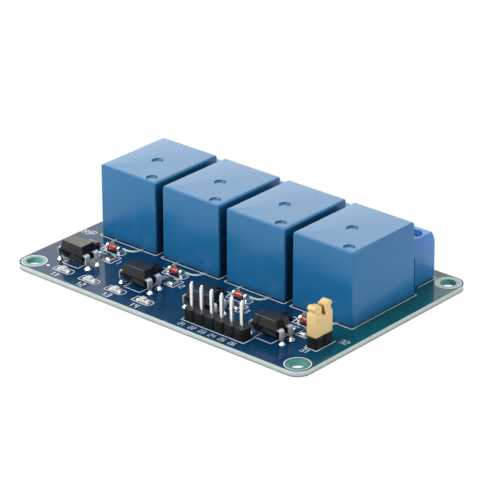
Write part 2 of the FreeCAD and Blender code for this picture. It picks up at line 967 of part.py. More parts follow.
def diode_caps(cx):
    x = cx + diode_offset_x
    half = diode_length / 2
    r = diode_cap_d / 2
    z = diode_axis_z()
    left = lying_bar(x - half, x - half + diode_cap_length, diode_y, z, r)
    right = lying_bar(x + half - diode_cap_length, x + half, diode_y, z, r)
    return [left, right]


def transistor_body(cx):
    x = cx + transistor_offset_x
    low = board_top + transistor_lift
    mid = low + transistor_height / 2
    top = low + transistor_height
    upper = drafted_box(x, transistor_y, transistor_x, transistor_depth, mid, top, 0,
                        transistor_draft)
    lower = centred_box(x, transistor_y, transistor_x, transistor_depth, low, mid)
    return fuse_all([upper, lower])


def transistor_leads(cx):
    x = cx + transistor_offset_x
    t = transistor_lead_t
    half = transistor_depth / 2
    lift = board_top + transistor_lead_rise
    leads = []
    step = transistor_lead_step
    for offset, side in ((-step, -1), (step, -1), (0, 1)):
        start_x = x + offset - transistor_lead_w / 2

        def at(reach, z):
            return Vector(start_x, transistor_y + side * (half + reach), z)

        middle = transistor_lead_reach / 2
        profile = [
            at(0, lift), at(0, lift + t), at(middle, lift + t), at(middle, board_top + t),
            at(transistor_lead_reach, board_top + t), at(transistor_lead_reach, board_top),
            at(middle - t, board_top), at(middle - t, lift),
        ]
        leads.append(extrude(profile, Vector(transistor_lead_w, 0, 0)))
    return leads


def chip_places(cx):
    return [
        (cx + chip_a_offset_x, chip_a_y, False),
        (cx + chip_b_offset_x, chip_b_y, True),
    ]


def chip_core(x, y, along_x):
    length = chip_length - 2 * chip_end
    low = board_top + chip_end_wrap
    high = board_top + chip_height - chip_end_wrap
    width = chip_width - 2 * chip_end_wrap
    if along_x:
        return centred_box(x, y, length, width, low, high)
    return centred_box(x, y, width, length, low, high)


def chip_ends(x, y, along_x):
    reach = chip_length / 2 - chip_end / 2
    high = board_top + chip_height
    ends = []
    for side in (-1, 1):
        if along_x:
            ends.append(centred_box(x + side * reach, y, chip_end, chip_width, board_top, high))
        else:
            ends.append(centred_box(x, y + side * reach, chip_width, chip_end, board_top, high))
    return ends


def lamp_base(x):
    high = board_top + lamp_base_h
    return centred_box(x, lamp_y, lamp_length, lamp_width, board_top, high)


def lamp_dome(x):
    low = board_top + lamp_base_h
    size_x = lamp_length - 2 * lamp_dome_inset
    high = low + lamp_dome_h
    return drafted_box(x, lamp_y, size_x, lamp_width, low, high, 0, lamp_dome_top_inset)


def group(shapes):
    return shapes[0] if len(shapes) == 1 else Part.makeCompound(shapes)


def flat(lists):
    return [item for items in lists for item in items]


def build_nodes():
    centres = relay_centres()
    nodes = {"circuit_board": circuit_board()}
    for i, cx in enumerate(centres, 1):
        nodes[f"relay_cover_{i}"] = relay_cover(cx)
        nodes[f"relay_armature_{i}"] = relay_armature(cx)
        nodes[f"relay_contact_spring_{i}"] = relay_contact_spring(cx)
    nodes["relay_bases"] = group([relay_base(cx) for cx in centres])
    nodes["relay_yokes"] = group([relay_yoke(cx) for cx in centres])
    nodes["relay_cores"] = group([relay_core(cx) for cx in centres])
    nodes["relay_bobbins"] = group([relay_bobbin(cx) for cx in centres])
    nodes["relay_windings"] = group([relay_winding(cx) for cx in centres])
    nodes["relay_terminals"] = group(flat(relay_terminals(cx) for cx in centres))
    for i, cx in enumerate(block_centres(), 1):
        nodes[f"terminal_housing_{i}"] = terminal_housing(cx)
    for i, x in enumerate(pole_centres(), 1):
        nodes[f"clamp_screw_{i}"] = clamp_screw(x)
        nodes[f"clamp_cage_{i}"] = clamp_cage(x)
    nodes["terminal_contacts"] = group([terminal_contact(x) for x in pole_centres()])
    nodes["input_header_base"] = header_block(header_places(), True)
    nodes["jumper_header_base"] = header_block(jumper_places(), False)
    pins = [header_pin(x, y) for x, y in header_places() + jumper_places()]
    nodes["header_pins"] = group(pins)
    nodes["jumper_cap"] = jumper_cap()
    nodes["jumper_clip"] = jumper_clip()
    nodes["optocoupler_bodies"] = group([opto_body(cx) for cx in centres])
    nodes["optocoupler_leads"] = group(flat(opto_leads(cx) for cx in centres))
    glasses = [diode_glass(cx) for cx in centres]
    nodes["diode_glasses"] = group(glasses)
    nodes["diode_caps"] = group(flat(diode_caps(cx) for cx in centres))
    return nodes


def build_small_nodes():
    centres = relay_centres()
    transistors = flat([transistor_body(cx)] + transistor_leads(cx) for cx in centres)
    chips = [place for cx in centres for place in chip_places(cx)]
    chip_solids = flat([chip_core(*place)] + chip_ends(*place) for place in chips)
    lamps = flat([lamp_base(x), lamp_dome(x)] for x in lamp_places_x)
    return {
        "transistors": group(transistors),
        "chip_resistors": group(chip_solids),
        "indicator_lamps": group(lamps),
    }


def main():
    os.makedirs("parts", exist_ok=True)
    nodes = build_nodes()
    nodes.update(build_small_nodes())
    for name, shape in nodes.items():
        shape.exportStep(f"parts/{name}.step")
    at = magnet_places()
    print("nodes", len(nodes))
    print("armature hinge y z", round(at["hinge_y"], 4), round(at["hinge_z"], 4))
    print("screw axis y", round(block_front() + screw_from_front, 4))
    print("screw axes x", [round(x, 4) for x in pole_centres()])


main()
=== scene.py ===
import math

import bmesh
import bpy
from mathutils import Matrix, Vector


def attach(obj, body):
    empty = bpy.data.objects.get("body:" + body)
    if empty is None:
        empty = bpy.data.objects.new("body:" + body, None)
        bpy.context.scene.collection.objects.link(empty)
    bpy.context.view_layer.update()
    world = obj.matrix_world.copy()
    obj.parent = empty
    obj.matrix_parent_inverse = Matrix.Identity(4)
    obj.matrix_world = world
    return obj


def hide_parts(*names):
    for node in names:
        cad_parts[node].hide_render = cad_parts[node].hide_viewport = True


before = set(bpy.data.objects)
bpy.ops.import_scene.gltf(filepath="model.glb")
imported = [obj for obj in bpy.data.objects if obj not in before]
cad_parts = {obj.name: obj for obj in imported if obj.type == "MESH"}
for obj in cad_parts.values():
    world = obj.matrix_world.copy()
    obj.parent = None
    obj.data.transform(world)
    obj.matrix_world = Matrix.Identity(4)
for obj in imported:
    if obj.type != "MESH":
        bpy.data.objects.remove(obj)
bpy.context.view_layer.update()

scene = bpy.context.scene

# Settings shared by many pieces, in millimetres; meshes are turned into metres when they are made
boardTop = 1.2
pinTip = -1.8
relayX = [-25.395, -8.465, 8.465, 25.395]
relayY = 4.6
relayPins = [(0, -2.4), (-6, -0.4), (6, -0.4), (-6, 11.8), (6, 11.8)]  # x from the relay's middle
poleX = [-28.33, -23.25, -18.17, -12.83, -7.75, -2.67, 2.67, 7.75, 12.83, 18.17, 23.25, 28.33]
screwY = 18.9
poleLegY = 16.34
blockX = [(k - 1.5) * 15.5 for k in range(4)]
holeX, holeY = 34.5, 22.5
holePlaces = [(sx * holeX, sy * holeY) for sx in (-1, 1) for sy in (-1, 1)]
headerPlaces = [(7.05 + 2.54 * k, -21.2) for k in range(6)]
jumperPlaces = [(32.42, -15.07), (32.42, -12.53)]
optoX = [x - 2.13 for x in relayX]
optoY = -17.05
optoReach, optoHalfPitch = 3.81, 1.27
optoPins = [(x + sx * optoReach, optoY + sy * optoHalfPitch)
            for x in optoX for sx in (-1, 1) for sy in (-1, 1)]
boardPins = [(cx + x, y) for cx in relayX for x, y in relayPins] + optoPins
boardPins += [(x, poleLegY) for x in poleX] + headerPlaces + jumperPlaces
diodeX = [x - 0.17 for x in relayX]
diodeY = -8.9
uprightChips = [(x + 2.15, -12.1) for x in relayX]
levelChips = [(x - 1.9, -12.2) for x in relayX]
transistorPlaces = [(x - 5.0, -10.0) for x in relayX]
transistorLegs = [(-0.95, -1), (0.95, -1), (0, 1)]  # x from the middle, and the side in Y
lampX = [-26.9, -19.85, -12.7, -5.35]
lampY = -21.75
# Parts with a metal end at each side: kind, places, and whether they lie along X
smallParts = [("diode", [(x, diodeY) for x in diodeX], True), ("chip", uprightChips, False),
              ("chip", levelChips, True), ("lamp", [(x, lampY) for x in lampX], True)]


def metres(points):
    return [(x / 1000, y / 1000, z / 1000) for x, y, z in points]


def linked(name, data):
    obj = bpy.data.objects.new(name, data)
    scene.collection.objects.link(obj)
    return obj


def evaluatedMesh(obj):
    # The mesh that an object's curve or modifiers give.
    bpy.context.view_layer.update()
    graph = bpy.context.evaluated_depsgraph_get()
    return bpy.data.meshes.new_from_object(obj.evaluated_get(graph))


def smoothByAngle(bm, degrees):
    limit = math.radians(degrees)
    for face in bm.faces:
        face.smooth = True
    for edge in bm.edges:
        edge.smooth = len(edge.link_faces) == 2 and edge.calc_face_angle(0) < limit


def addForm(bm, vertices, faces):
    made = [bm.verts.new(point) for point in metres(vertices)]
    return [bm.faces.new([made[i] for i in corners]) for corners in faces]


def written(bm, mesh):
    bm.to_mesh(mesh)
    bm.free()
    return mesh


def piece(name, parts, materials, body="board", angle=35, replaced=()):
    # Parts are (vertices in mm, faces, material index); the result is one object on its body.
    bm = bmesh.new()
    for vertices, faces, index in parts:
        for face in addForm(bm, vertices, faces):
            face.material_index = index
    bmesh.ops.recalc_face_normals(bm, faces=bm.faces)
    smoothByAngle(bm, angle)
    mesh = written(bm, bpy.data.meshes.new(name))
    return place(name, mesh, materials, body, replaced)


def place(name, mesh, materials, body, replaced=()):
    obj = linked(name, mesh)
    # Clearing the slots would send every face back to the first material, so the choice is kept.
    chosen = [face.material_index for face in mesh.polygons]
    mesh.materials.clear()
    for item in materials:
        mesh.materials.append(item)
    mesh.polygons.foreach_set("material_index", chosen)
    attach(obj, body)
    if replaced:
        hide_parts(*replaced)
    return obj


def solidMesh(part, offset=0.0, choose=lambda edge: edge.calc_face_angle(0) > 1.0):
    # A closed mesh in metres; with an offset its chosen edges are bevelled.
    bm = bmesh.new()
    addForm(bm, part[0], part[1])
    bmesh.ops.remove_doubles(bm, verts=bm.verts, dist=1e-7)
    bmesh.ops.recalc_face_normals(bm, faces=bm.faces)
    if offset:
        bmesh.ops.bevel(bm, geom=[e for e in bm.edges if choose(e)], offset=offset / 1000,
                        segments=2, affect="EDGES", profile=0.5)
    return written(bm, bpy.data.meshes.new("solid"))


def stackRings(rings, index=0):
    # A closed form through rings of the same number of points, from the first to the last.
    count = len(rings[0])
    vertices = [v for ring in rings for v in ring]
    faces = [list(range(count))[::-1]]
    for level in range(len(rings) - 1):
        low = level * count
        for i in range(count):
            j = (i + 1) % count
            faces.append([low + i, low + j, low + count + j, low + count + i])
    faces.append([len(vertices) - count + i for i in range(count)])
    return vertices, faces, index


def roundRing(cx, cy, sizeX, sizeY, radius, z, steps):
    # A rectangle with rounded corners at one height.
    points = []
    radius = max(radius, 0.001)
    for quarter, (sx, sy) in enumerate(((1, 1), (-1, 1), (-1, -1), (1, -1))):
        midX = cx + sx * (sizeX / 2 - radius)
        midY = cy + sy * (sizeY / 2 - radius)
        for step in range(steps + 1):
            turn = math.pi / 2 * (quarter + step / steps)
            points.append((midX + radius * math.cos(turn), midY + radius * math.sin(turn), z))
    return points


def pillow(cx, cy, sizeX, sizeY, z0, z1, corner, top, low=0.0, draft=0.0, index=0, steps=5):
    # A block with rounded corners, a rounded top edge and, if asked, a rounded lower edge.
    quarter = [math.pi / 8 * k for k in range(5)]
    levels = [(low * (1 - math.sin(turn)), z0 + low * (1 - math.cos(turn)))
              for turn in quarter[:4] if low]
    levels += [(0, z0 + low), (draft, z1 - top)]
    levels += [(draft + top * (1 - math.cos(turn)), z1 - top * (1 - math.sin(turn)))
               for turn in quarter[1:] if top]
    rings = [roundRing(cx, cy, sizeX - 2 * inset, sizeY - 2 * inset, max(corner - inset / 2, 0.02),
                       z, steps) for inset, z in levels]
    return stackRings(rings, index)


def rectangle(x0, y0, x1, y1):
    return [(x0, y0), (x1, y0), (x1, y1), (x0, y1)]


def circle(cx, cy, radius, sides):
    return [(cx + radius * math.cos(2 * math.pi * i / sides),
             cy + radius * math.sin(2 * math.pi * i / sides)) for i in range(sides)]


def lathe(profile, cx, cy, sides, index=0):
    # Profile points are (radius, z) from the bottom to the top; both ends are closed flat.
    return stackRings([[(x, y, z) for x, y in circle(cx, cy, radius, sides)]
                       for radius, z in profile], index)


def laidAlongX(part, cx, cy, cz):
    # Lays a lathed shape made about the origin along +X.
    vertices, faces, index = part
    return [(cx + z, cy + x, cz + y) for x, y, z in vertices], faces, index


def profileX(points, x0, x1, index=0):
    # A flat outline of (y, z) points drawn out from x0 to x1.
    return stackRings([[(x, y, z) for y, z in points] for x in (x0, x1)], index)


def profileY(points, y0, y1):
    # The same for (x, z) points, from y0 to y1.
    return stackRings([[(x, y, z) for x, z in points] for y in (y0, y1)])


def flatRing(cx, cy, outerR, innerR, z0, z1, sides):
    vertices, faces = [], []
    for level, (radius, z) in enumerate(((outerR, z0), (outerR, z1), (innerR, z1), (innerR, z0))):
        vertices += [(x, y, z) for x, y in circle(cx, cy, radius, sides)]
        low, high = level * sides, (level + 1) % 4 * sides
        for i in range(sides):
            j = (i + 1) % sides
            faces.append([low + i, low + j, high + j, high + i])
    return vertices, faces, 0


# Materials

class Shader:
    def __init__(self, name):
        self.material = bpy.data.materials.new(name)
        self.material.use_nodes = True
        self.tree = self.material.node_tree
        self.surface = self.tree.nodes["Principled BSDF"]
        self.coordinates = self.add("ShaderNodeTexCoord").outputs["Object"]

    def add(self, kind, **settings):
        node = self.tree.nodes.new(kind)
        for key, value in settings.items():
            if key in node.inputs:
                node.inputs[key].default_value = value
            else:
                setattr(node, key, value)
        return node

    def join(self, output, socket):
        self.tree.links.new(output, socket)

    def paint(self, colour, rough):
        self.join(colour, self.surface.inputs["Base Color"])
        self.join(rough, self.surface.inputs["Roughness"])

    def fix(self, values):
        # Sockets of the surface that are the same all over.
        for socket, value in values.items():
            self.surface.inputs[socket].default_value = value

    def noise(self, scale, detail=3.0, stretch=None):
        node = self.add("ShaderNodeTexNoise", Scale=scale, Detail=detail, Roughness=0.55)
        source = self.coordinates
        if stretch:
            mapping = self.add("ShaderNodeMapping", Scale=stretch)
            self.join(source, mapping.inputs["Vector"])
            source = mapping.outputs["Vector"]
        self.join(source, node.inputs["Vector"])
        return node.outputs["Fac"]

    def ramp(self, factor, stops):
        # Stops are (level, colour) in rising order.
        node = self.add("ShaderNodeValToRGB")
        elements = node.color_ramp.elements
        for k, (level, colour) in ((0, stops[0]), (1, stops[-1])):
            elements[k].position = level
            elements[k].color = (*colour, 1)
        for level, colour in stops[1:-1]:
            elements.new(level).color = (*colour, 1)
        self.join(factor, node.inputs["Fac"])
        return node.outputs["Color"]

    def blend(self, factor, first, second):
        return self.ramp(factor, [(0.3, first), (0.7, second)])

    def multiply(self, first, second, factor):
        mix = self.add("ShaderNodeMix", data_type="RGBA", blend_type="MULTIPLY", Factor=factor)
        self.join(first, mix.inputs["A"])
        self.join(second, mix.inputs["B"])
        return mix.outputs["Result"]

    def spread(self, factor, low, high, fromLow=0.3, fromHigh=0.7):
        node = self.add("ShaderNodeMapRange", **{"From Min": fromLow, "From Max": fromHigh,
                                                 "To Min": low, "To Max": high})
        self.join(factor, node.inputs["Value"])
        return node.outputs["Result"]

    def bump(self, height, strength, distance):
        node = self.add("ShaderNodeBump", Strength=strength, Distance=distance)
        self.join(height, node.inputs["Height"])
        self.join(node.outputs["Normal"], self.surface.inputs["Normal"])

    def paintGapShade(self, colour, shade):
        # Painted shade: darkens the colour where other surfaces are near, in the narrow gaps
        # between neighbours and low down by the board.
        near = self.add("ShaderNodeAmbientOcclusion", samples=8, Distance=0.0035)
        level = self.spread(near.outputs["AO"], 1 - shade, 1.0, 0.35, 0.75)
        return self.multiply(colour, level, 1.0)


def finish(name, first, second, rough, metallic=0.0, grain=900, bump=0.15, depth=0.00002,
           specular=0.5, coat=0.0, stretch=None, roughSpan=0.08, glow=0.0, paintedGapShade=0.0):
    # Two colours over broad noise, with fine bumps. Glow is the share of light that passes under
    # the surface, and the gap setting how much painted shade darkens the colour in narrow gaps.
    shader = Shader(name)
    shader.fix({"Metallic": metallic, "Specular IOR Level": specular, "Coat Weight": coat,
                "Coat Roughness": 0.08})
    if glow:
        shader.fix({"Subsurface Weight": glow, "Subsurface Radius": (0.1, 0.7, 1.0),
                    "Subsurface Scale": 0.003})
    fine = shader.noise(grain, stretch=stretch)
    broad = shader.noise(grain / 6, detail=2.0)
    colour = shader.blend(broad, first, second)
    if paintedGapShade:
        colour = shader.paintGapShade(colour, paintedGapShade)
    shader.paint(colour, shader.spread(broad, rough - roughSpan, rough + roughSpan))
    shader.bump(fine, bump, depth)
    return shader.material


def maskMaterial(name, left, right, dark):
    # Solder mask over a faint pattern of copper; the blue is painted lighter and greener
    # towards the far right corner, as painted light across the board.
    shader = Shader(name)
    shader.fix({"Specular IOR Level": 0.05, "Coat Weight": 0.39, "Coat Roughness": 0.035})
    # Painted light: the colour turns from the first one to the second one across the board.
    across = shader.add("ShaderNodeVectorMath", operation="DOT_PRODUCT")
    across.inputs[1].default_value = (0.9, 0.45, 0.0)
    shader.join(shader.coordinates, across.inputs[0])
    along = shader.spread(across.outputs["Value"], 0.0, 1.0, 0.008, 0.042)
    paintedLightShift = shader.blend(along, left, right)
    patches = shader.noise(260, detail=1.0)
    level = shader.spread(patches, 0.0, 1.0, 0.48, 0.52)
    colour = shader.multiply(paintedLightShift, shader.blend(level, dark, (1, 1, 1)), 0.35)
    waves = shader.noise(1500, detail=2.0)
    shader.paint(colour, shader.spread(waves, 0.4, 0.5))
    shader.bump(waves, 0.1, 0.000008)
    return shader.material


def edgeMaterial(name, lowFace, core, pale, rim):
    # Cut edge of the board: a dark line below, glass fibre between, a greenish rim above.
    shader = Shader(name)
    split = shader.add("ShaderNodeSeparateXYZ")
    shader.join(shader.coordinates, split.inputs["Vector"])
    height = shader.spread(split.outputs["Z"], 0.0, 1.0, 0.0, 0.0012)
    layers = shader.ramp(height, [(0.0, lowFace), (0.1, lowFace), (0.2, core), (0.75, pale),
                                  (0.85, pale), (1.0, rim)])
    fibres = shader.noise(4000, stretch=(1, 1, 12))
    grain = shader.blend(fibres, (0.74, 0.76, 0.76), (1, 1, 1))
    shader.paint(shader.multiply(layers, grain, 1.0), shader.spread(fibres, 0.42, 0.58))
    shader.bump(fibres, 0.4, 0.00002)
    return shader.material


# The second colour is the painted light of the far right corner.
mask = maskMaterial("solderMask", (0.001, 0.036, 0.095), (0.0, 0.090, 0.108), (0.60, 0.68, 0.78))
# Laminate of the slot walls: the same laminate as the cut edge, painted brighter to stand in for
# light in the slots, with real translucency under the surface.
slotLaminatePaintedLight = finish("slotLaminatePaintedLight", (0.80, 0.94, 0.88), (0.88, 1.0, 0.94), 0.5,
                      grain=4000, bump=0.3, glow=0.5)
holeWall = finish("holeWall", (0.08, 0.37, 0.32), (0.11, 0.43, 0.36), 0.35)
bareRing = finish("bareRing", (0.03, 0.16, 0.16), (0.05, 0.20, 0.18), 0.3, coat=0.5)
laminate = edgeMaterial("laminate", (0.12, 0.15, 0.16), (0.44, 0.48, 0.46), (0.66, 0.72, 0.69),
                        (0.34, 0.56, 0.50))
ink = finish("whiteInk", (0.72, 0.76, 0.80), (0.84, 0.87, 0.90), 0.5, grain=5000)
# Relay plastic, with painted shade that darkens it in the gaps between relays and low down by the
# board.
relayPlastic = finish("relayPlastic", (0.010, 0.145, 0.335), (0.011, 0.152, 0.350), 0.25,
                      grain=2400, bump=0.02, depth=0.00001, specular=0.47, roughSpan=0.03,
                      paintedGapShade=0.78)
relayBase = finish("relayBase", (0.02, 0.09, 0.22), (0.03, 0.11, 0.26), 0.45)
terminalPlastic = finish("terminalPlastic", (0.020, 0.17, 0.43), (0.026, 0.19, 0.47),
                         0.32, grain=1800, bump=0.05, glow=0.7, roughSpan=0.03)
moldedBlack = finish("moldedBlack", (0.007, 0.007, 0.008), (0.012, 0.012, 0.013), 0.17,
                     grain=5000, bump=0.05, specular=0.34, roughSpan=0.02)
headerBlack = finish("headerBlack", (0.006, 0.006, 0.007), (0.010, 0.010, 0.011), 0.42,
                     grain=5000, bump=0.35, specular=0.22)
creamPlastic = finish("creamPlastic", (0.74, 0.53, 0.225), (0.80, 0.585, 0.27), 0.42, grain=2600)
bobbinPlastic = finish("bobbinPlastic", (0.50, 0.47, 0.36), (0.6, 0.56, 0.45), 0.5)
tin = finish("tin", (0.70, 0.70, 0.69), (0.86, 0.86, 0.85), 0.22, metallic=1.0,
             grain=3000, bump=0.2)
leadTin = finish("leadTin", (0.62, 0.62, 0.61), (0.76, 0.76, 0.75), 0.42, metallic=0.7, grain=3000)
solder = finish("solder", (0.62, 0.63, 0.64), (0.84, 0.84, 0.84), 0.2, metallic=1.0,
                grain=2500, bump=0.5, depth=0.00004)
steel = finish("steel", (0.50, 0.51, 0.52), (0.68, 0.69, 0.70), 0.32, metallic=1.0,
               grain=2200, stretch=(1, 1, 8))
iron = finish("iron", (0.34, 0.34, 0.35), (0.46, 0.46, 0.47), 0.4, metallic=1.0)
brass = finish("brass", (0.50, 0.33, 0.14), (0.64, 0.44, 0.20), 0.3, metallic=1.0)
# Brass of the jumper clip, painted dark as the shade inside the cap's slot.
brassPaintedShade = finish("brassPaintedShade", (0.16, 0.07, 0.025), (0.24, 0.11, 0.04), 0.45, metallic=0.6)
copper = finish("copper", (0.60, 0.25, 0.12), (0.72, 0.33, 0.17), 0.3, metallic=1.0,
                grain=6000, stretch=(1, 1, 14), bump=0.5)
orangeCore = finish("orangeCore", (0.44, 0.028, 0.012), (0.58, 0.05, 0.018), 0.35)
bandInk = finish("bandInk", (0.01, 0.01, 0.012), (0.02, 0.02, 0.022), 0.4)
chipBlack = finish("chipBlack", (0.010, 0.010, 0.012), (0.022, 0.022, 0.024), 0.35)
ceramic = finish("ceramic", (0.74, 0.74, 0.70), (0.82, 0.82, 0.78), 0.5)
lampBody = finish("lampBody", (0.72, 0.72, 0.66), (0.82, 0.82, 0.76), 0.45)


def clearMaterial(name, tint, rough, grain, clear):
    shader = Shader(name)
    shader.fix({"Transmission Weight": clear, "IOR": 1.5})
    broad = shader.noise(grain)
    colour = shader.blend(broad, tint, tuple(min(1, c * 1.05) for c in tint))
    shader.paint(colour, shader.spread(broad, rough, rough + 0.05))
    shader.bump(broad, 0.05, 0.00001)
    return shader.material


glass = clearMaterial("glass", (0.98, 0.70, 0.60), 0.03, 1500, 0.97)
lens = clearMaterial("lens", (0.85, 0.85, 0.82), 0.12, 1500, 0.3)
print("stage: materials")


# Circuit board: a flat curve with its holes and slots, drawn out and turned into a mesh

boardShape = {"length": 75.0, "width": 51.0, "corner": 3.0, "holeR": 1.6, "steps": 14}
slotShape = {"half": 3.7, "front": -7.15, "radius": 2.2, "width": 0.8, "legEnd": -1.75,
             "steps": 10}
pinHoleR = 0.42
boardFaces = {"flat": 0, "edge": 1, "slot": 2, "hole": 3, "pin": 4}  # places in its material list


def slotOutline(cx):
    half, front = slotShape["half"], slotShape["front"]
    radius, end = slotShape["radius"], slotShape["legEnd"]
    grow, steps = slotShape["width"] / 2, slotShape["steps"]

    def side(offset):
        points = []
        for sign in (-1, 1):
            midX = cx + sign * (half - radius)
            for step in range(steps + 1):
                turn = math.pi / 2 * step / steps
                if sign > 0:
                    turn = math.pi / 2 - turn
                points.append((midX + sign * (radius + offset) * math.cos(turn),
                               front + radius - (radius + offset) * math.sin(turn)))
        return points

    def cap(x, turnFrom):
        return [(x + grow * math.cos(turnFrom + math.pi * k / 8),
                 end + grow * math.sin(turnFrom + math.pi * k / 8)) for k in range(9)]

    outside = side(grow)
    inside = side(-grow)[::-1]
    return outside + cap(cx + half, 0) + inside + cap(cx - half, 0)


def addLoop(curve, points):
    spline = curve.splines.new("POLY")
    spline.points.add(len(points) - 1)
    for target, (x, y) in zip(spline.points, points):
        target.co = (x / 1000, y / 1000, 0, 1)
    spline.use_cyclic_u = True


def wallKind(face):
    # An upright face belongs to the outer edge, a slot, a mounting hole or a pin hole.
    centre = face.calc_center_median() * 1000
    x, y = abs(centre.x), abs(centre.y)
    if math.hypot(x - holeX, y - holeY) < boardShape["holeR"] + 0.1:
        return "hole"
    half, end = slotShape["half"] + slotShape["width"], slotShape["legEnd"]
    front = slotShape["front"] - slotShape["width"] - 0.05
    if any(abs(centre.x - cx) < half for cx in relayX) and front < centre.y < end + 0.5:
        nearPin = min(math.hypot(centre.x - px, centre.y - py) for px, py in boardPins)
        return "pin" if nearPin < pinHoleR + 0.05 else "slot"
    outerX = boardShape["length"] / 2 - boardShape["corner"]
    return "edge" if x > outerX or y > boardShape["width"] / 2 - 0.1 else "pin"


def makeBoard():
    shape = boardShape
    curve = bpy.data.curves.new("boardCurve", "CURVE")
    curve.dimensions = "2D"
    curve.fill_mode = "BOTH"
    curve.extrude = boardTop / 2000
    ring = roundRing(0, 0, shape["length"], shape["width"], shape["corner"], 0, shape["steps"])
    addLoop(curve, [point[:2] for point in ring])
    for x, y in holePlaces:
        addLoop(curve, circle(x, y, shape["holeR"], 48))
    for cx in relayX:
        addLoop(curve, slotOutline(cx))
    for x, y in boardPins:
        addLoop(curve, circle(x, y, pinHoleR, 12))
    holder = linked("boardCurve", curve)
    mesh = evaluatedMesh(holder)
    bpy.data.objects.remove(holder)
    bm = bmesh.new()
    bm.from_mesh(mesh)
    bmesh.ops.remove_doubles(bm, verts=bm.verts, dist=1e-7)
    bmesh.ops.translate(bm, verts=bm.verts, vec=(0, 0, boardTop / 2000))
    bmesh.ops.recalc_face_normals(bm, faces=bm.faces)
    smoothByAngle(bm, 35)
    for face in bm.faces:
        face.material_index = boardFaces["flat" if abs(face.normal.z) > 0.5 else wallKind(face)]
    return place("circuitBoard", written(bm, mesh), [mask, laminate, slotLaminatePaintedLight, holeWall, tin],
                 "board", ["circuit_board"])


makeBoard()
print("stage: board")


# Printed lines, pads and number marks on the board

line = {"width": 0.17, "digit": 0.14, "high": boardTop + 0.02}
relayRings = [  # closed outlines by each relay: x from the relay's middle, y on the board
    rectangle(-7.75, -5.2, 7.72, 14.4), rectangle(0.93, -13.65, 3.37, -10.55),
    rectangle(-4.26, -19.5, 0.0, -14.6),
    [(-2.95, -10.1), (1.95, -10.1), (2.55, -9.5), (2.55, -8.4), (1.95, -7.8), (-2.95, -7.8)],
]
relayLines = [  # open lines at the same places
    [(-3.35, -13.35), (-0.45, -13.35)],
    [(-3.35, -11.0), (-0.45, -11.0)],
    [(-6.9, -9.3), (-6.9, -8.2), (-5.9, -8.2)],
    [(-4.2, -8.2), (-3.2, -8.2), (-3.2, -9.3)],
]
lampRing = [(-2.3, -1.0), (1.8, -1.0), (2.3, -0.5), (2.3, 0.5), (1.8, 1.0), (-2.3, 1.0)]
boardPrint = [  # header, jumper and terminal blocks
    [(5.6, -19.7), (5.6, -22.8), (21.45, -22.8), (21.45, -19.7)],
    [(31.0, -10.9), (31.0, -16.5), (33.9, -16.5), (33.9, -11.0)],
    [(31.35, 17.0), (31.35, 22.9), (-31.35, 22.9), (-31.35, 15.0)],
]
marker = {"radius": 0.35, "x": -30.93, "y": -22.18}
strokes = {
    "0": [[(0, 0), (1, 0), (1, 2), (0, 2), (0, 0)]],
    "1": [[(0.5, 0), (0.5, 2), (0.1, 1.6)]],
    "2": [[(0, 2), (1, 2), (1, 1), (0, 1), (0, 0), (1, 0)]],
    "3": [[(0, 2), (1, 2), (1, 0), (0, 0)], [(0.2, 1), (1, 1)]],
    "4": [[(0, 2), (0, 1), (1, 1)], [(1, 2), (1, 0)]],
    "5": [[(1, 2), (0, 2), (0, 1), (1, 1), (1, 0), (0, 0)]],
    "6": [[(1, 2), (0, 2), (0, 0), (1, 0), (1, 1), (0, 1)]],
    "7": [[(0, 2), (1, 2), (0.4, 0)]],
    "8": [[(0, 0), (1, 0), (1, 2), (0, 2), (0, 0)], [(0, 1), (1, 1)]],
}


def closed(points):
    return points + points[:1]


def ribbon(points, width=line["width"]):
    # Flat bars along a line of (x, y) points, each a closed box that runs a little past its ends.
    parts = []
    half = width / 2
    reach = half * 0.7
    for (x0, y0), (x1, y1) in zip(points, points[1:]):
        length = math.hypot(x1 - x0, y1 - y0)
        ux, uy = (x1 - x0) / length, (y1 - y0) / length
        corners = [(x0 + ux * along - uy * across, y0 + uy * along + ux * across)
                   for along, across in rectangle(-reach, -half, length + reach, half)]
        parts.append(stackRings([[(x, y, z) for x, y in corners]
                                 for z in (boardTop, line["high"])]))
    return parts


def number(text, x, y, height, turn=0.0, width=line["digit"]):
    # Plain digits made of short bars; x and y are the lower left corner.
    parts = []
    size = height / 2
    c, s = math.cos(turn), math.sin(turn)
    for order, digit in enumerate(text):
        for run in strokes[digit]:
            local = [((px + order * 1.55) * size, py * size) for px, py in run]
            parts += ribbon([(x + a * c - b * s, y + a * s + b * c) for a, b in local], width)
    return parts


def printedLines():
    parts = [flatRing(x, y, 2.64, 2.46, boardTop, line["high"], 48) for x, y in holePlaces]
    for k, cx in enumerate(relayX):
        for outline in [closed(ring) for ring in relayRings] + relayLines:
            parts += ribbon([(cx + x, y) for x, y in outline])
        parts += number(str(k + 1), cx + 4.1, -12.9, 1.3)
        parts += number(str(k + 5), optoX[k] - 0.4, -13.9, 1.1)
    for k, cx in enumerate(lampX):
        parts += ribbon([(cx + x, lampY + y) for x, y in closed(lampRing)])
        parts += number("1" + str(k + 1), cx - 0.9, -24.85, 1.3, width=0.2)
    for k, (x, _) in enumerate(headerPlaces):
        parts += number("2" + str(k + 1), x - 0.65, -24.7, 1.05, width=0.12)
    for outline in boardPrint:
        parts += ribbon(outline)
    parts += number("31", 31.2, -18.2, 1.35) + number("32", 34.6, -10.9, 1.35)
    parts += number("40", -34.3, -6.6, 1.5, math.pi / 2, 0.18)
    parts += number("50", -36.1, -6.6, 1.1, math.pi / 2)
    dot = [(marker["radius"], boardTop), (marker["radius"], line["high"])]
    return parts + [lathe(dot, marker["x"], marker["y"], 16)]


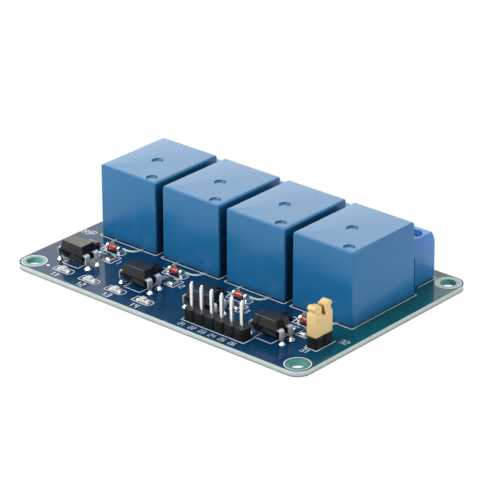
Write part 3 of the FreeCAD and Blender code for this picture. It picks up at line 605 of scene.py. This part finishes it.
piece("printedLines", printedLines(), [ink])
piece("holeRings", [flatRing(x, y, 2.44, 1.62, boardTop, boardTop + 0.012, 48)
                    for x, y in holePlaces], [bareRing])

# Bare tinned plates: how far from the part's middle, then the sizes along and across the part
plateShape = {"diode": (1.65, 1.1, 1.7), "chip": (0.95, 0.9, 1.35), "lamp": (1.15, 0.95, 1.3),
              "leg": (1.05, 0.8, 0.95), "high": 0.035, "corner": 0.12, "top": 0.02}


def endSpots(places, alongX, reach, long, across):
    # Both ends of each part: x, y, sizes in X and Y, and the way in towards the part.
    spots = []
    for x, y in places:
        for sign in (-1, 1):
            spots.append((x + sign * reach, y, long, across, -sign, 0) if alongX
                         else (x, y + sign * reach, across, long, 0, -sign))
    return spots


def legSpots(reach):
    return [(x + dx, y + side * reach) for x, y in transistorPlaces for dx, side in transistorLegs]


def padPlates():
    s = plateShape
    spots = [spot[:4] for kind, places, alongX in smallParts
             for spot in endSpots(places, alongX, *s[kind])]
    reach, sizeX, sizeY = s["leg"]
    spots += [(x, y, sizeX, sizeY) for x, y in legSpots(reach)]
    return [pillow(*spot, boardTop, boardTop + s["high"], s["corner"], s["top"], steps=3)
            for spot in spots]


piece("padPlates", padPlates(), [tin])
print("stage: print and pads")


# Solder joints under every pin and on top at the optocoupler leads, each set spread by a node tree

def newNodes(tree, kinds):
    return {name: tree.nodes.new(kind) for name, kind in kinds.items()}


def wire(tree, nodes, links):
    # Each link is (node, output, node, input).
    for source, output, target, socket in links:
        tree.links.new(nodes[source].outputs[output], nodes[target].inputs[socket])


def scatterTree(material):
    tree = bpy.data.node_groups.new("scatterJoints", "GeometryNodeTree")
    face = tree.interface
    face.new_socket("Geometry", in_out="INPUT", socket_type="NodeSocketGeometry")
    kinds = {"Joint": "Object", "SizeSpread": "Float", "Seed": "Int"}
    sockets = {name: face.new_socket(name, in_out="INPUT", socket_type="NodeSocket" + kind)
               for name, kind in kinds.items()}
    face.new_socket("Geometry", in_out="OUTPUT", socket_type="NodeSocketGeometry")
    nodes = newNodes(tree, {
        "source": "NodeGroupInput", "target": "NodeGroupOutput", "info": "GeometryNodeObjectInfo",
        "copies": "GeometryNodeInstanceOnPoints", "size": "FunctionNodeRandomValue",
        "turn": "FunctionNodeRandomValue", "least": "ShaderNodeMath", "most": "ShaderNodeMath",
        "axes": "ShaderNodeCombineXYZ", "realize": "GeometryNodeRealizeInstances",
        "paint": "GeometryNodeSetMaterial"})
    for name, operation in (("least", "SUBTRACT"), ("most", "ADD")):
        nodes[name].operation = operation
        nodes[name].inputs[0].default_value = 1.0
    nodes["turn"].inputs["Max"].default_value = 6.283
    nodes["paint"].inputs["Material"].default_value = material
    wire(tree, nodes, (
        ("source", "Geometry", "copies", "Points"), ("source", "Joint", "info", "Object"),
        ("info", "Geometry", "copies", "Instance"), ("source", "SizeSpread", "least", 1),
        ("source", "SizeSpread", "most", 1), ("least", "Value", "size", 2),
        ("most", "Value", "size", 3), ("source", "Seed", "size", "Seed"),
        ("source", "Seed", "turn", "Seed"), ("size", 1, "copies", "Scale"),
        ("turn", 1, "axes", "Z"), ("axes", "Vector", "copies", "Rotation"),
        ("copies", "Instances", "realize", "Geometry"),
        ("realize", "Geometry", "paint", "Geometry"),
        ("paint", "Geometry", "target", "Geometry")))
    return tree, {name: socket.identifier for name, socket in sockets.items()}


def scatter(name, points, profile, sides, spread, seed, material):
    jointMesh = solidMesh(lathe(profile, 0, 0, sides))
    jointMesh.materials.append(material)
    shapeObject = linked(name + "Shape", jointMesh)
    cloud = bpy.data.meshes.new(name + "Points")
    cloud.from_pydata(metres(points), [], [])
    holder = linked(name + "Points", cloud)
    tree, sockets = scatterTree(material)
    modifier = holder.modifiers.new("scatter", "NODES")
    modifier.node_group = tree
    for socket, value in (("Joint", shapeObject), ("SizeSpread", spread), ("Seed", seed)):
        modifier[sockets[socket]] = value
    mesh = evaluatedMesh(holder)
    holder.modifiers.clear()
    bpy.data.objects.remove(holder)
    bpy.data.objects.remove(shapeObject)
    bm = bmesh.new()
    bm.from_mesh(mesh)
    smoothByAngle(bm, 50)
    place(name, written(bm, mesh), [material], "board")
    print("scatter", name, len(mesh.polygons))


lowerJoint = [(0.85, -0.01), (0.80, -0.05), (0.66, -0.22), (0.50, -0.5), (0.40, -0.85),
              (0.34, -1.15)]
upperJoint = [(0.72, 0.0), (0.68, 0.05), (0.55, 0.16), (0.42, 0.34), (0.30, 0.55)]
scatter("solderLower", [(x, y, 0) for x, y in boardPins], lowerJoint[::-1], 20, 0.06, 4, solder)
scatter("solderUpper", [(x, y, boardTop) for x, y in optoPins], upperJoint, 18, 0.08, 9, solder)


# Relay cases

relayShape = {"width": 15.2, "length": 18.8, "low": 1.4, "high": 16.7, "corner": 0.45,
              "edge": 0.4, "draft": 0.15, "wall": 0.8, "dimpleR": 1.2, "dimpleDepth": 0.3,
              "gateY": -0.5, "ventX": 5.05, "ventY": -7.5}


def relayCase(cx):
    s = relayShape
    outer = pillow(cx, relayY, s["width"], s["length"], s["low"], s["high"], s["corner"],
                   s["edge"], 0.0, s["draft"], steps=6)
    high = s["high"]
    dimple = [(s["dimpleR"] - 0.12, high - s["dimpleDepth"]), (s["dimpleR"], high - 0.18),
              (s["dimpleR"], high + 0.5)]
    cutters = [
        lathe(dimple, cx, relayY + s["gateY"], 40),
        lathe(dimple, cx + s["ventX"], relayY + s["ventY"], 40),
        pillow(cx, relayY, s["width"] - 2 * s["wall"], s["length"] - 2 * s["wall"], s["low"] - 1,
               high - s["wall"], 0.3, 0.0, 0.0, s["draft"], steps=3),
    ]
    return carve(solidMesh(outer), cutters)


def carve(mesh, cutters, added=()):
    # Joins closed shapes to a mesh, then cuts others out, and marks the sharp edges.
    target = linked("carved", mesh)
    helpers = []
    changes = [(part, "UNION") for part in added] + [(part, "DIFFERENCE") for part in cutters]
    for part, operation in changes:
        helper = linked("cutter", solidMesh(part))
        helpers.append(helper)
        modifier = target.modifiers.new("cut", "BOOLEAN")
        modifier.operation = operation
        modifier.solver = "EXACT"
        modifier.object = helper
    result = evaluatedMesh(target)
    for helper in helpers + [target]:
        bpy.data.objects.remove(helper)
    bm = bmesh.new()
    bm.from_mesh(result)
    bmesh.ops.remove_doubles(bm, verts=bm.verts, dist=1e-7)
    smoothByAngle(bm, 32)
    return written(bm, result)


for k, cx in enumerate(relayX, 1):
    place(f"relayCase{k}", relayCase(cx), [relayPlastic], "board", [f"relay_cover_{k}"])
print("stage: relays")


# Screw terminal blocks

blockShape = {"width": 15.4, "front": 15.1, "back": 22.8, "high": 11.4, "shoulder": 8.5,
              "inset": 0.95, "turn": 0.6, "wellR": 1.9, "wellLow": 8.8, "railY": 16.2,
              "rail": 0.5, "railHigh": 7.5, "pitch": 5.08, "boreR": 1.4, "endEdge": 0.18}
# Room for a pole's clamp, contact plate and leg: middle in Y, sizes in X and Y, heights, corner
poleRoom = [(18.95, 4.2, 4.1, 1.6, 8.1, 0.1), (16.45, 2.9, 1.1, 1.6, 8.1, 0.05),
            (poleLegY, 1.3, 0.8, 0.9, 1.7, 0.05)]
# Wire entry and the wider mouth of its funnel, as x from the pole and z
wireEntry = [(-1.8, 2.0), (1.8, 2.0), (1.8, 4.6), (1.3, 5.2), (-1.3, 5.2), (-1.8, 4.6)]
wireMouth = [(-2.1, 1.8), (2.1, 1.8), (2.1, 4.8), (1.5, 5.5), (-1.5, 5.5), (-2.1, 4.8)]


def blockProfile():
    s = blockShape
    front, back, high = s["front"], s["back"], s["high"]
    shoulder, inset, full = s["shoulder"], s["inset"], s["turn"]
    rise = high - 0.2 - shoulder
    points = [(front + 0.15, 1.2), (back - 0.3, 1.2), (back, 2.7), (back, shoulder)]
    for step in range(1, 9):
        turn = full * step / 8
        points.append((back - inset * (1 - math.cos(turn)) / (1 - math.cos(full)),
                       shoulder + rise * math.sin(turn) / math.sin(full)))
    points += [(back - inset - 0.1, high - 0.06), (back - inset - 0.25, high),
               (front + 0.35, high), (front + 0.1, high - 0.1), (front, high - 0.35),
               (front, 1.35)]
    return points


def isEndEdge(edge):
    a, b = (vertex.co.x for vertex in edge.verts)
    return edge.calc_face_angle(0) > 1.2 and abs(a - b) < 1e-6


def terminalBlock(cx):
    s = blockShape
    left, right = cx - s["width"] / 2, cx + s["width"] / 2
    wellR, high = s["wellR"], s["high"]
    well = [(wellR, s["wellLow"]), (wellR, high - 0.14), (wellR + 0.28, high + 0.14),
            (wellR + 0.28, high + 0.6)]
    mesh = solidMesh(profileX(blockProfile(), left + 0.05, right - 0.05), s["endEdge"], isEndEdge)
    cutters = []
    for x in (cx - s["pitch"], cx, cx + s["pitch"]):
        cutters += [lathe(well, x, screwY, 40),
                    lathe([(s["boreR"], 7.0), (s["boreR"], s["wellLow"] + 0.2)], x, screwY, 24)]
        cutters += [pillow(x, *room, 0.0, steps=2) for room in poleRoom]
        cutters += [profileY([(x + a, z) for a, z in wireEntry], 20.8, 24.0),
                    stackRings([[(x + a, y, z) for a, z in outline] for y, outline in
                                ((22.3, wireEntry), (23.0, wireMouth))])]
    y = s["railY"]
    groove = rectangle(y - 0.45, 0.9, y + 0.45, s["railHigh"] + 0.1)
    cutters.append(profileX(groove, right - s["rail"] - 0.1, right + 0.3))
    return carve(mesh, cutters)


def blockRail(cx):
    s = blockShape
    y, left = s["railY"], cx - s["width"] / 2
    outline = [(left + 0.1, y - 0.35), (left - s["rail"], y - 0.6),
               (left - s["rail"], y + 0.6), (left + 0.1, y + 0.35)]
    return stackRings([[(a, b, z) for a, b in outline] for z in (1.25, s["railHigh"])])


for k, cx in enumerate(blockX, 1):
    place(f"terminalBlock{k}", terminalBlock(cx), [terminalPlastic], "board",
          [f"terminal_housing_{k}"])
    piece(f"terminalRails{k}", [blockRail(cx)], [terminalPlastic])

screwShape = {"seat": 8.85, "headR": 1.75, "headHigh": 1.4, "slot": 0.6, "slotDepth": 0.7,
              "shankR": 1.05, "rootR": 1.07, "threadR": 1.25, "neckR": 1.2, "tip": 4.95,
              "threadLow": 5.05, "threadHigh": 8.6, "neckTop": 8.9, "pitch": 0.45}


def clampScrew(x):
    s = screwShape
    low, high = s["seat"], s["seat"] + s["headHigh"]
    head = lathe([(s["headR"] - 0.08, low), (s["headR"], low + 0.08), (s["headR"], high - 0.2),
                  (s["headR"] - 0.08, high - 0.07), (s["headR"] - 0.3, high)], x, screwY, 40)
    slotCut = rectangle(screwY - s["slot"] / 2, high - s["slotDepth"], screwY + s["slot"] / 2,
                        high + 0.3)
    return carve(solidMesh(head), [profileX(slotCut, x - 3, x + 3)])


def threadedShank(x):
    # Thread ridges as stacked rings, a plain stand-in for the helix.
    s = screwShape
    profile = [(s["shankR"], s["tip"])]
    z = s["threadLow"]
    while z < s["threadHigh"]:
        profile += [(s["rootR"], z), (s["threadR"], z + 0.2)]
        z += s["pitch"]
    profile += [(s["neckR"], s["threadHigh"]), (s["neckR"], s["neckTop"])]
    return lathe(profile, x, screwY, 20)


for k, x in enumerate(poleX, 1):
    place(f"clampScrew{k}", clampScrew(x), [steel], f"screw_{k}", [f"clamp_screw_{k}"])
    piece(f"clampShank{k}", [threadedShank(x)], [steel], f"screw_{k}", angle=20)
print("stage: terminals")


# Pin headers and the jumper cap

baseShape = {"half": 1.27, "depth": 1.25, "notch": 0.4, "high": 2.4, "edge": 0.1, "inset": 0.08}
pinShape = {"half": 0.32, "tipHalf": 0.16, "taper": 0.5, "corner": 0.05, "reach": 7.75}


def headerBase(name, places, alongX, node):
    s = baseShape
    half, depth, notch = s["half"], s["depth"], s["notch"]
    outline = [(half, -depth + notch), (half, depth - notch), (half - notch, depth),
               (-half + notch, depth), (-half, depth - notch), (-half, -depth + notch),
               (-half + notch, -depth), (half - notch, -depth)]
    if not alongX:
        outline = [(-b, a) for a, b in outline]
    top = boardTop + s["high"]
    levels = [(1, boardTop), (1, top - s["edge"]), (1 - s["inset"] / half, top)]
    parts = [stackRings([[(x + a * scale, y + b * scale, z) for a, b in outline]
                         for scale, z in levels]) for x, y in places]
    piece(name, parts, [headerBlack], angle=25, replaced=[node])


headerBase("inputHeaderBase", headerPlaces, True, "input_header_base")
headerBase("jumperHeaderBase", jumperPlaces, False, "jumper_header_base")


def squarePin(x, y):
    s = pinShape
    top = boardTop + s["reach"]
    levels = [(s["tipHalf"], pinTip), (s["half"], pinTip + s["taper"]),
              (s["half"], top - s["taper"]), (s["tipHalf"], top)]
    return stackRings([roundRing(x, y, 2 * half, 2 * half, s["corner"], z, 2)
                       for half, z in levels])


piece("headerPins", [squarePin(x, y) for x, y in headerPlaces + jumperPlaces], [tin],
      replaced=["header_pins"])

capShape = {"x": 32.42, "y": -13.8, "width": 2.4, "half": 2.45, "low": 3.6, "shoulder": 8.1,
            "step": 0.3, "slot": 0.95, "slotLow": 7.6, "cavity": 9.15, "cavityX": 1.2,
            "cavityY": 3.6, "earEdge": 0.08}
# Outer edge of an ear: how far it stands in from the cap's side, and the height above the board
earEdge = [(0.02, 6.75), (0.12, 7.0), (0.27, 7.35), (0.14, 7.7), (-0.1, 8.0), (-0.1, 8.35),
           (0.14, 8.6), (0.5, 8.7), (1.1, 8.56), (1.6, 8.36)]


def smoothLine(points, steps=4):
    # Points on a curve through the given ones.
    ends = [points[0]] + points + [points[-1]]
    curve = []
    for p0, p1, p2, p3 in zip(ends, ends[1:], ends[2:], ends[3:]):
        for step in range(steps):
            t = step / steps
            curve.append(tuple(0.5 * (2 * b + (c - a) * t + (2 * a - 5 * b + 4 * c - d) * t * t
                                      + (3 * b - a - 3 * c + d) * t ** 3)
                               for a, b, c, d in zip(p0, p1, p2, p3)))
    return curve + [points[-1]]


def jumperCap():
    s = capShape
    x, y, half, low = s["x"], s["y"], s["half"], s["low"]
    edge = [(half - inset, boardTop + z) for inset, z in smoothLine(earEdge)]
    outline = [(y + a, z) for a, z in edge] + [(y - a, z) for a, z in edge[::-1]]
    thin = s["width"] / 2 - s["step"]
    ears = solidMesh(profileX(outline, x - thin, x + thin), s["earEdge"])
    lower = pillow(x, y, s["width"], 2 * half, low, s["shoulder"], 0.28, 0.12, 0.12)
    cutters = [
        pillow(x, y, s["cavityX"], s["cavityY"], low - 0.5, s["cavity"], 0.05, 0.0, steps=2),
        pillow(x, y, 4.0, s["slot"], s["slotLow"], s["cavity"] + 2, 0.05, 0.0, steps=2),
    ]
    return carve(ears, cutters, [lower])


place("jumperCap", jumperCap(), [creamPlastic], "jumper", ["jumper_cap"])
print("stage: headers")


# Optocouplers

optoShape = {"mid": 2.75, "half": 1.75, "seam": 0.03, "edge": 0.08, "draft": 0.42, "inset": 0.50,
             "length": 6.2, "width": 4.1, "corner": 0.12, "dotX": -1.73, "dotY": -0.68,
             "dotR": 0.42, "dotInnerR": 0.34}
leadShape = {"thick": 0.25, "inner": 3.05, "step": 1.0, "halfWide": 0.6}


def optoBody(cx):
    s = optoShape
    mid = boardTop + s["mid"]
    above = [(s["draft"], s["half"] - s["edge"]), (s["inset"], s["half"])]
    levels = [(inset, mid - rise) for inset, rise in above[::-1]]
    levels += [(0.0, mid - s["seam"]), (-0.015, mid), (0.0, mid + s["seam"])]
    levels += [(inset, mid + rise) for inset, rise in above]
    return stackRings([roundRing(cx, optoY, s["length"] - 2 * inset, s["width"] - 2 * inset,
                                 s["corner"], z, 3) for inset, z in levels])


def optoDot(cx):
    s = optoShape
    z = boardTop + s["mid"] + s["half"] - 0.005
    return flatRing(cx + s["dotX"], optoY + s["dotY"], s["dotR"], s["dotInnerR"], z, z + 0.02, 24)


def optoLead(cx, sx, y):
    # Flat lead: out of the parting line, round the bend and down, wide above and narrow below.
    s = leadShape
    half, inner = s["thick"] / 2, s["inner"]
    z, step = boardTop + optoShape["mid"], boardTop + s["step"]
    nearX, farX = optoReach - half, optoReach + half
    outline = [(inner, z - half), (nearX - 0.2, z - half), (nearX, z - half - 0.2), (nearX, step),
               (farX, step), (farX, z - half - 0.1), (farX - 0.12, z + half - 0.14),
               (optoReach - 0.2, z + half), (inner, z + half)]
    shoulder = profileY([(cx + sx * a, b) for a, b in outline], y - s["halfWide"],
                        y + s["halfWide"])
    levels = [(0.3, pinTip), (0.5, pinTip + 0.3), (0.5, step - 0.15), (0.7, step),
              (0.9, step + 0.05)]
    rings = [roundRing(cx + sx * optoReach, y, s["thick"], wide, 0.04, level, 1)
             for wide, level in levels]
    return [shoulder, stackRings(rings)]


piece("optoBodies", [optoBody(cx) for cx in optoX] + [optoDot(cx) for cx in optoX],
      [moldedBlack], angle=25, replaced=["optocoupler_bodies"])
piece("optoLeads", [part for cx in optoX for sx in (-1, 1) for sy in (-1, 1)
                    for part in optoLead(cx, sx, optoY + sy * optoHalfPitch)],
      [leadTin], replaced=["optocoupler_leads"])


# Diodes, transistors, chip resistors and lamps

# Profiles are (radius, place along the diode)
diodeShape = {
    "axis": boardTop + 0.75,
    "tube": [(0.55, -1.3), (0.68, -1.2), (0.70, -1.0), (0.70, 1.0), (0.68, 1.2), (0.55, 1.3)],
    "core": [(0.3, -1.25), (0.42, -0.6), (0.42, 0.5), (0.3, 1.25)],
    "stripe": [(0.705, 0.72), (0.715, 0.74), (0.715, 1.12), (0.705, 1.14)],
    "cap": [(0.66, -0.25), (0.75, -0.18), (0.75, 0.18), (0.66, 0.25)],
    "capX": 1.5,
}


def diodeParts(x):
    s = diodeShape
    made = [lathe(s[form], 0, 0, sides, index) for index, (form, sides) in
            enumerate((("tube", 28), ("core", 16), ("stripe", 28)))]
    return [laidAlongX(item, x, diodeY, s["axis"]) for item in made]


piece("diodeGlasses", [p for cx in diodeX for p in diodeParts(cx)], [glass, orangeCore, bandInk],
      replaced=["diode_glasses"])
piece("diodeCaps", [laidAlongX(lathe(diodeShape["cap"], 0, 0, 28), x + side * diodeShape["capX"],
                               diodeY, diodeShape["axis"]) for x in diodeX for side in (-1, 1)],
      [tin], replaced=["diode_caps"])


transistorShape = {
    "length": 2.9, "width": 1.3, "corner": 0.08, "legHalf": 0.21,
    # How far the side stands in, and the height above the board
    "levels": [(0.08, 0.1), (0.0, 0.5), (0.0, 0.55), (0.1, 1.07), (0.16, 1.1)],
    # Side view of a leg, out from the middle and up from the board
    "leg": [(0.6, 0.42), (0.6, 0.55), (0.86, 0.55), (0.95, 0.48), (1.0, 0.17), (1.3, 0.15),
            (1.3, 0.03), (0.9, 0.03), (0.82, 0.42)],
}


def transistorParts(x, y):
    s = transistorShape
    rings = [roundRing(x, y, s["length"] - 2 * inset, s["width"] - 2 * inset, s["corner"],
                       boardTop + z, 2) for inset, z in s["levels"]]
    parts = [stackRings(rings)]
    for dx, side in transistorLegs:
        leg = [(y + side * a, boardTop + z) for a, z in s["leg"]]
        parts.append(profileX(leg, x + dx - s["legHalf"], x + dx + s["legHalf"], 1))
    return parts


piece("transistors", [part for x, y in transistorPlaces for part in transistorParts(x, y)],
      [moldedBlack, tin], angle=25, replaced=["transistors"])

# Blocks of a chip resistor: place and size along it, width, height from and to, corner, top edge,
# material, corner steps
chipShape = [(0, 1.3, 1.2, 0, 0.5, 0.03, 0.03, 1, 2),
             (0, 1.16, 1.16, 0.45, 0.53, 0.05, 0.03, 0, 2),
             (-0.8, 0.4, 1.25, 0, 0.54, 0.08, 0.06, 2, 3),
             (0.8, 0.4, 1.25, 0, 0.54, 0.08, 0.06, 2, 3)]


def chipParts(x, y, alongX):
    parts = []
    z = boardTop + 0.03
    for at, long, wide, low, high, corner, top, index, steps in chipShape:
        spot = (x + at, y, long, wide) if alongX else (x, y + at, wide, long)
        parts.append(pillow(*spot, z + low, z + high, corner, top, index=index, steps=steps))
    return parts


piece("chipResistors", [part for places, alongX in ((uprightChips, False), (levelChips, True))
                        for x, y in places for part in chipParts(x, y, alongX)],
      [chipBlack, ceramic, tin], replaced=["chip_resistors"])


def solderHeap(x, y, sizeX, sizeY, high, leanX=0.0, leanY=0.0):
    # A low rounded heap that leans towards the part's metal end.
    rings = []
    for k in range(6):
        t = k / 5
        inset = 0.5 * min(sizeX, sizeY) * (1 - math.cos(t * 1.25))
        rings.append(roundRing(x + leanX * t, y + leanY * t, sizeX - 2 * inset,
                               sizeY - 2 * inset, 0.1, boardTop + 0.03 + high * math.sin(t * 1.57),
                               3))
    return stackRings(rings)


# How far a heap stands from the part's middle, its sizes along and across the part, height, lean
heapShape = {"chip": (1.1, 0.55, 1.2, 0.4, 0.12), "diode": (1.75, 0.75, 1.5, 0.45, 0.1),
             "lamp": (1.2, 0.6, 1.1, 0.35, 0.1), "leg": (1.15, 0.65, 0.7, 0.22)}
heaps = []
for kind, places, alongX in smallParts:
    *spot, high, lean = heapShape[kind]
    heaps += [solderHeap(x, y, sizeX, sizeY, high, inX * lean, inY * lean)
              for x, y, sizeX, sizeY, inX, inY in endSpots(places, alongX, *spot)]
reach, sizeX, sizeY, high = heapShape["leg"]
heaps += [solderHeap(x, y, sizeX, sizeY, high) for x, y in legSpots(reach)]
piece("solderHeaps", heaps, [solder], angle=50)

lampShape = {"baseX": 2.0, "baseY": 1.25, "low": boardTop + 0.03, "split": boardTop + 0.36,
             "lensX": 1.4, "lensY": 1.22, "lensHigh": 0.46, "corner": 0.2, "edge": 0.16,
             "draft": 0.06}


def lampParts(x):
    s = lampShape
    base = pillow(x, lampY, s["baseX"], s["baseY"], s["low"], s["split"], 0.05, 0.03, steps=2)
    dome = pillow(x, lampY, s["lensX"], s["lensY"], s["split"], s["split"] + s["lensHigh"],
                  s["corner"], s["edge"], draft=s["draft"], index=1)
    return [base, dome]


piece("indicatorLamps", [part for x in lampX for part in lampParts(x)], [lampBody, lens],
      replaced=["indicator_lamps"])
print("stage: small parts")


# Finishes of the CAD pieces that stay in view

cadFinish = {
    "relay_bases": relayBase, "relay_yokes": iron, "relay_cores": iron,
    "relay_bobbins": bobbinPlastic, "relay_windings": copper, "relay_terminals": tin,
    # The jumper clip gets the brass painted dark as shade.
    "terminal_contacts": brass, "jumper_clip": brassPaintedShade,
}
for count, name, material in ((4, "relay_armature", iron), (4, "relay_contact_spring", brass),
                              (12, "clamp_cage", steel)):
    cadFinish.update({f"{name}_{k}": material for k in range(1, count + 1)})
for name, material in cadFinish.items():
    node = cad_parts[name]
    node.data.materials.clear()
    node.data.materials.append(material)
print("stage: finishes")


# Light, background and camera

def lamp(name, at, towards, sizeX, sizeY, power, color=(1, 1, 1)):
    data = bpy.data.lights.new(name, "AREA")
    data.shape = "RECTANGLE"
    data.size, data.size_y = sizeX, sizeY
    data.energy = power
    data.color = color
    obj = linked(name, data)
    direction = Vector(towards) - Vector(at)
    obj.rotation_euler = direction.to_track_quat("-Z", "Y").to_euler()
    obj.location = at
    obj.visible_camera = False


lamp("backBox", (-0.55, 0.60, 0.38), (0, 0, 0), 1.0, 0.7, 2.85, (1.0, 0.985, 0.88))
lamp("rightBox", (0.75, 0.30, 0.35), (0, 0, 0), 0.6, 0.6, 3.0)
lamp("topBox", (0.0, -0.1, 0.9), (0, 0, 0), 0.7, 0.7, 0.8)
lamp("frontBox", (-0.15, -0.62, 0.68), (0, 0, 0), 0.5, 0.5, 6.0)
lamp("sideBox", (-0.18, -0.12, 0.25), (-0.02, -0.01, 0.01), 0.12, 0.12, 0.24)
lamp("rearBox", (0.05, 0.95, 0.10), (0, 0, 0), 0.4, 0.2, 2.2, (0.85, 1.0, 1.0))

# The world is white where it is seen, also through glass and in gloss, and dim as a light.
world = bpy.data.worlds.new("studio")
scene.world = world
world.use_nodes = True
tree = world.node_tree
tree.nodes.clear()
nodes = newNodes(tree, {
    "output": "ShaderNodeOutputWorld", "seen": "ShaderNodeBackground",
    "unseen": "ShaderNodeBackground", "path": "ShaderNodeLightPath",
    "mixer": "ShaderNodeMixShader", "clearOr": "ShaderNodeMath", "glossOr": "ShaderNodeMath"})
for name, color, strength in (("seen", (1, 1, 1, 1), 1.0), ("unseen", (0.86, 0.93, 1.0, 1), 0.24)):
    nodes[name].inputs["Color"].default_value = color
    nodes[name].inputs["Strength"].default_value = strength
nodes["clearOr"].operation = nodes["glossOr"].operation = "MAXIMUM"
wire(tree, nodes, (
    ("path", "Is Camera Ray", "clearOr", 0), ("path", "Is Transmission Ray", "clearOr", 1),
    ("clearOr", "Value", "glossOr", 0), ("path", "Is Glossy Ray", "glossOr", 1),
    ("glossOr", "Value", "mixer", "Fac"), ("unseen", "Background", "mixer", 1),
    ("seen", "Background", "mixer", 2), ("mixer", "Shader", "output", "Surface")))

floorHalf, floorZ = 1.5, -0.0019
floorMesh = bpy.data.meshes.new("floor")
floorMesh.from_pydata([(x, y, floorZ) for x, y in rectangle(-floorHalf, -floorHalf, floorHalf,
                                                            floorHalf)], [], [(0, 1, 2, 3)])
floor = linked("floor", floorMesh)
floorMesh.materials.append(finish("floorPaper", (0.86, 0.86, 0.86), (0.88, 0.88, 0.88),
                                  0.9, grain=20, bump=0.0))
floor.visible_camera = False

view = {"azimuth": 0.734, "elevation": 0.432, "roll": -0.014,
        "place": (0.328118, -0.363318, 0.233783), "lens": 206.45}
a, e, r = view["azimuth"], view["elevation"], view["roll"]
back = Vector((math.sin(a) * math.cos(e), -math.cos(a) * math.cos(e), math.sin(e)))
right = Vector((math.cos(a), math.sin(a), 0))
up = back.cross(right)
rolledRight = math.cos(r) * right + math.sin(r) * up
rolledUp = -math.sin(r) * right + math.cos(r) * up
cameraData = bpy.data.cameras.new("camera")
cameraData.lens = view["lens"]
cameraData.sensor_width = 36
cameraData.clip_end = 20
camera = linked("camera", cameraData)
columns = (rolledRight, rolledUp, back, view["place"])
camera.matrix_world = Matrix([[column[row] for column in columns] for row in range(3)]
                             + [[0, 0, 0, 1]])
scene.camera = camera
scene.view_settings.view_transform = "Standard"

print("stage: done")
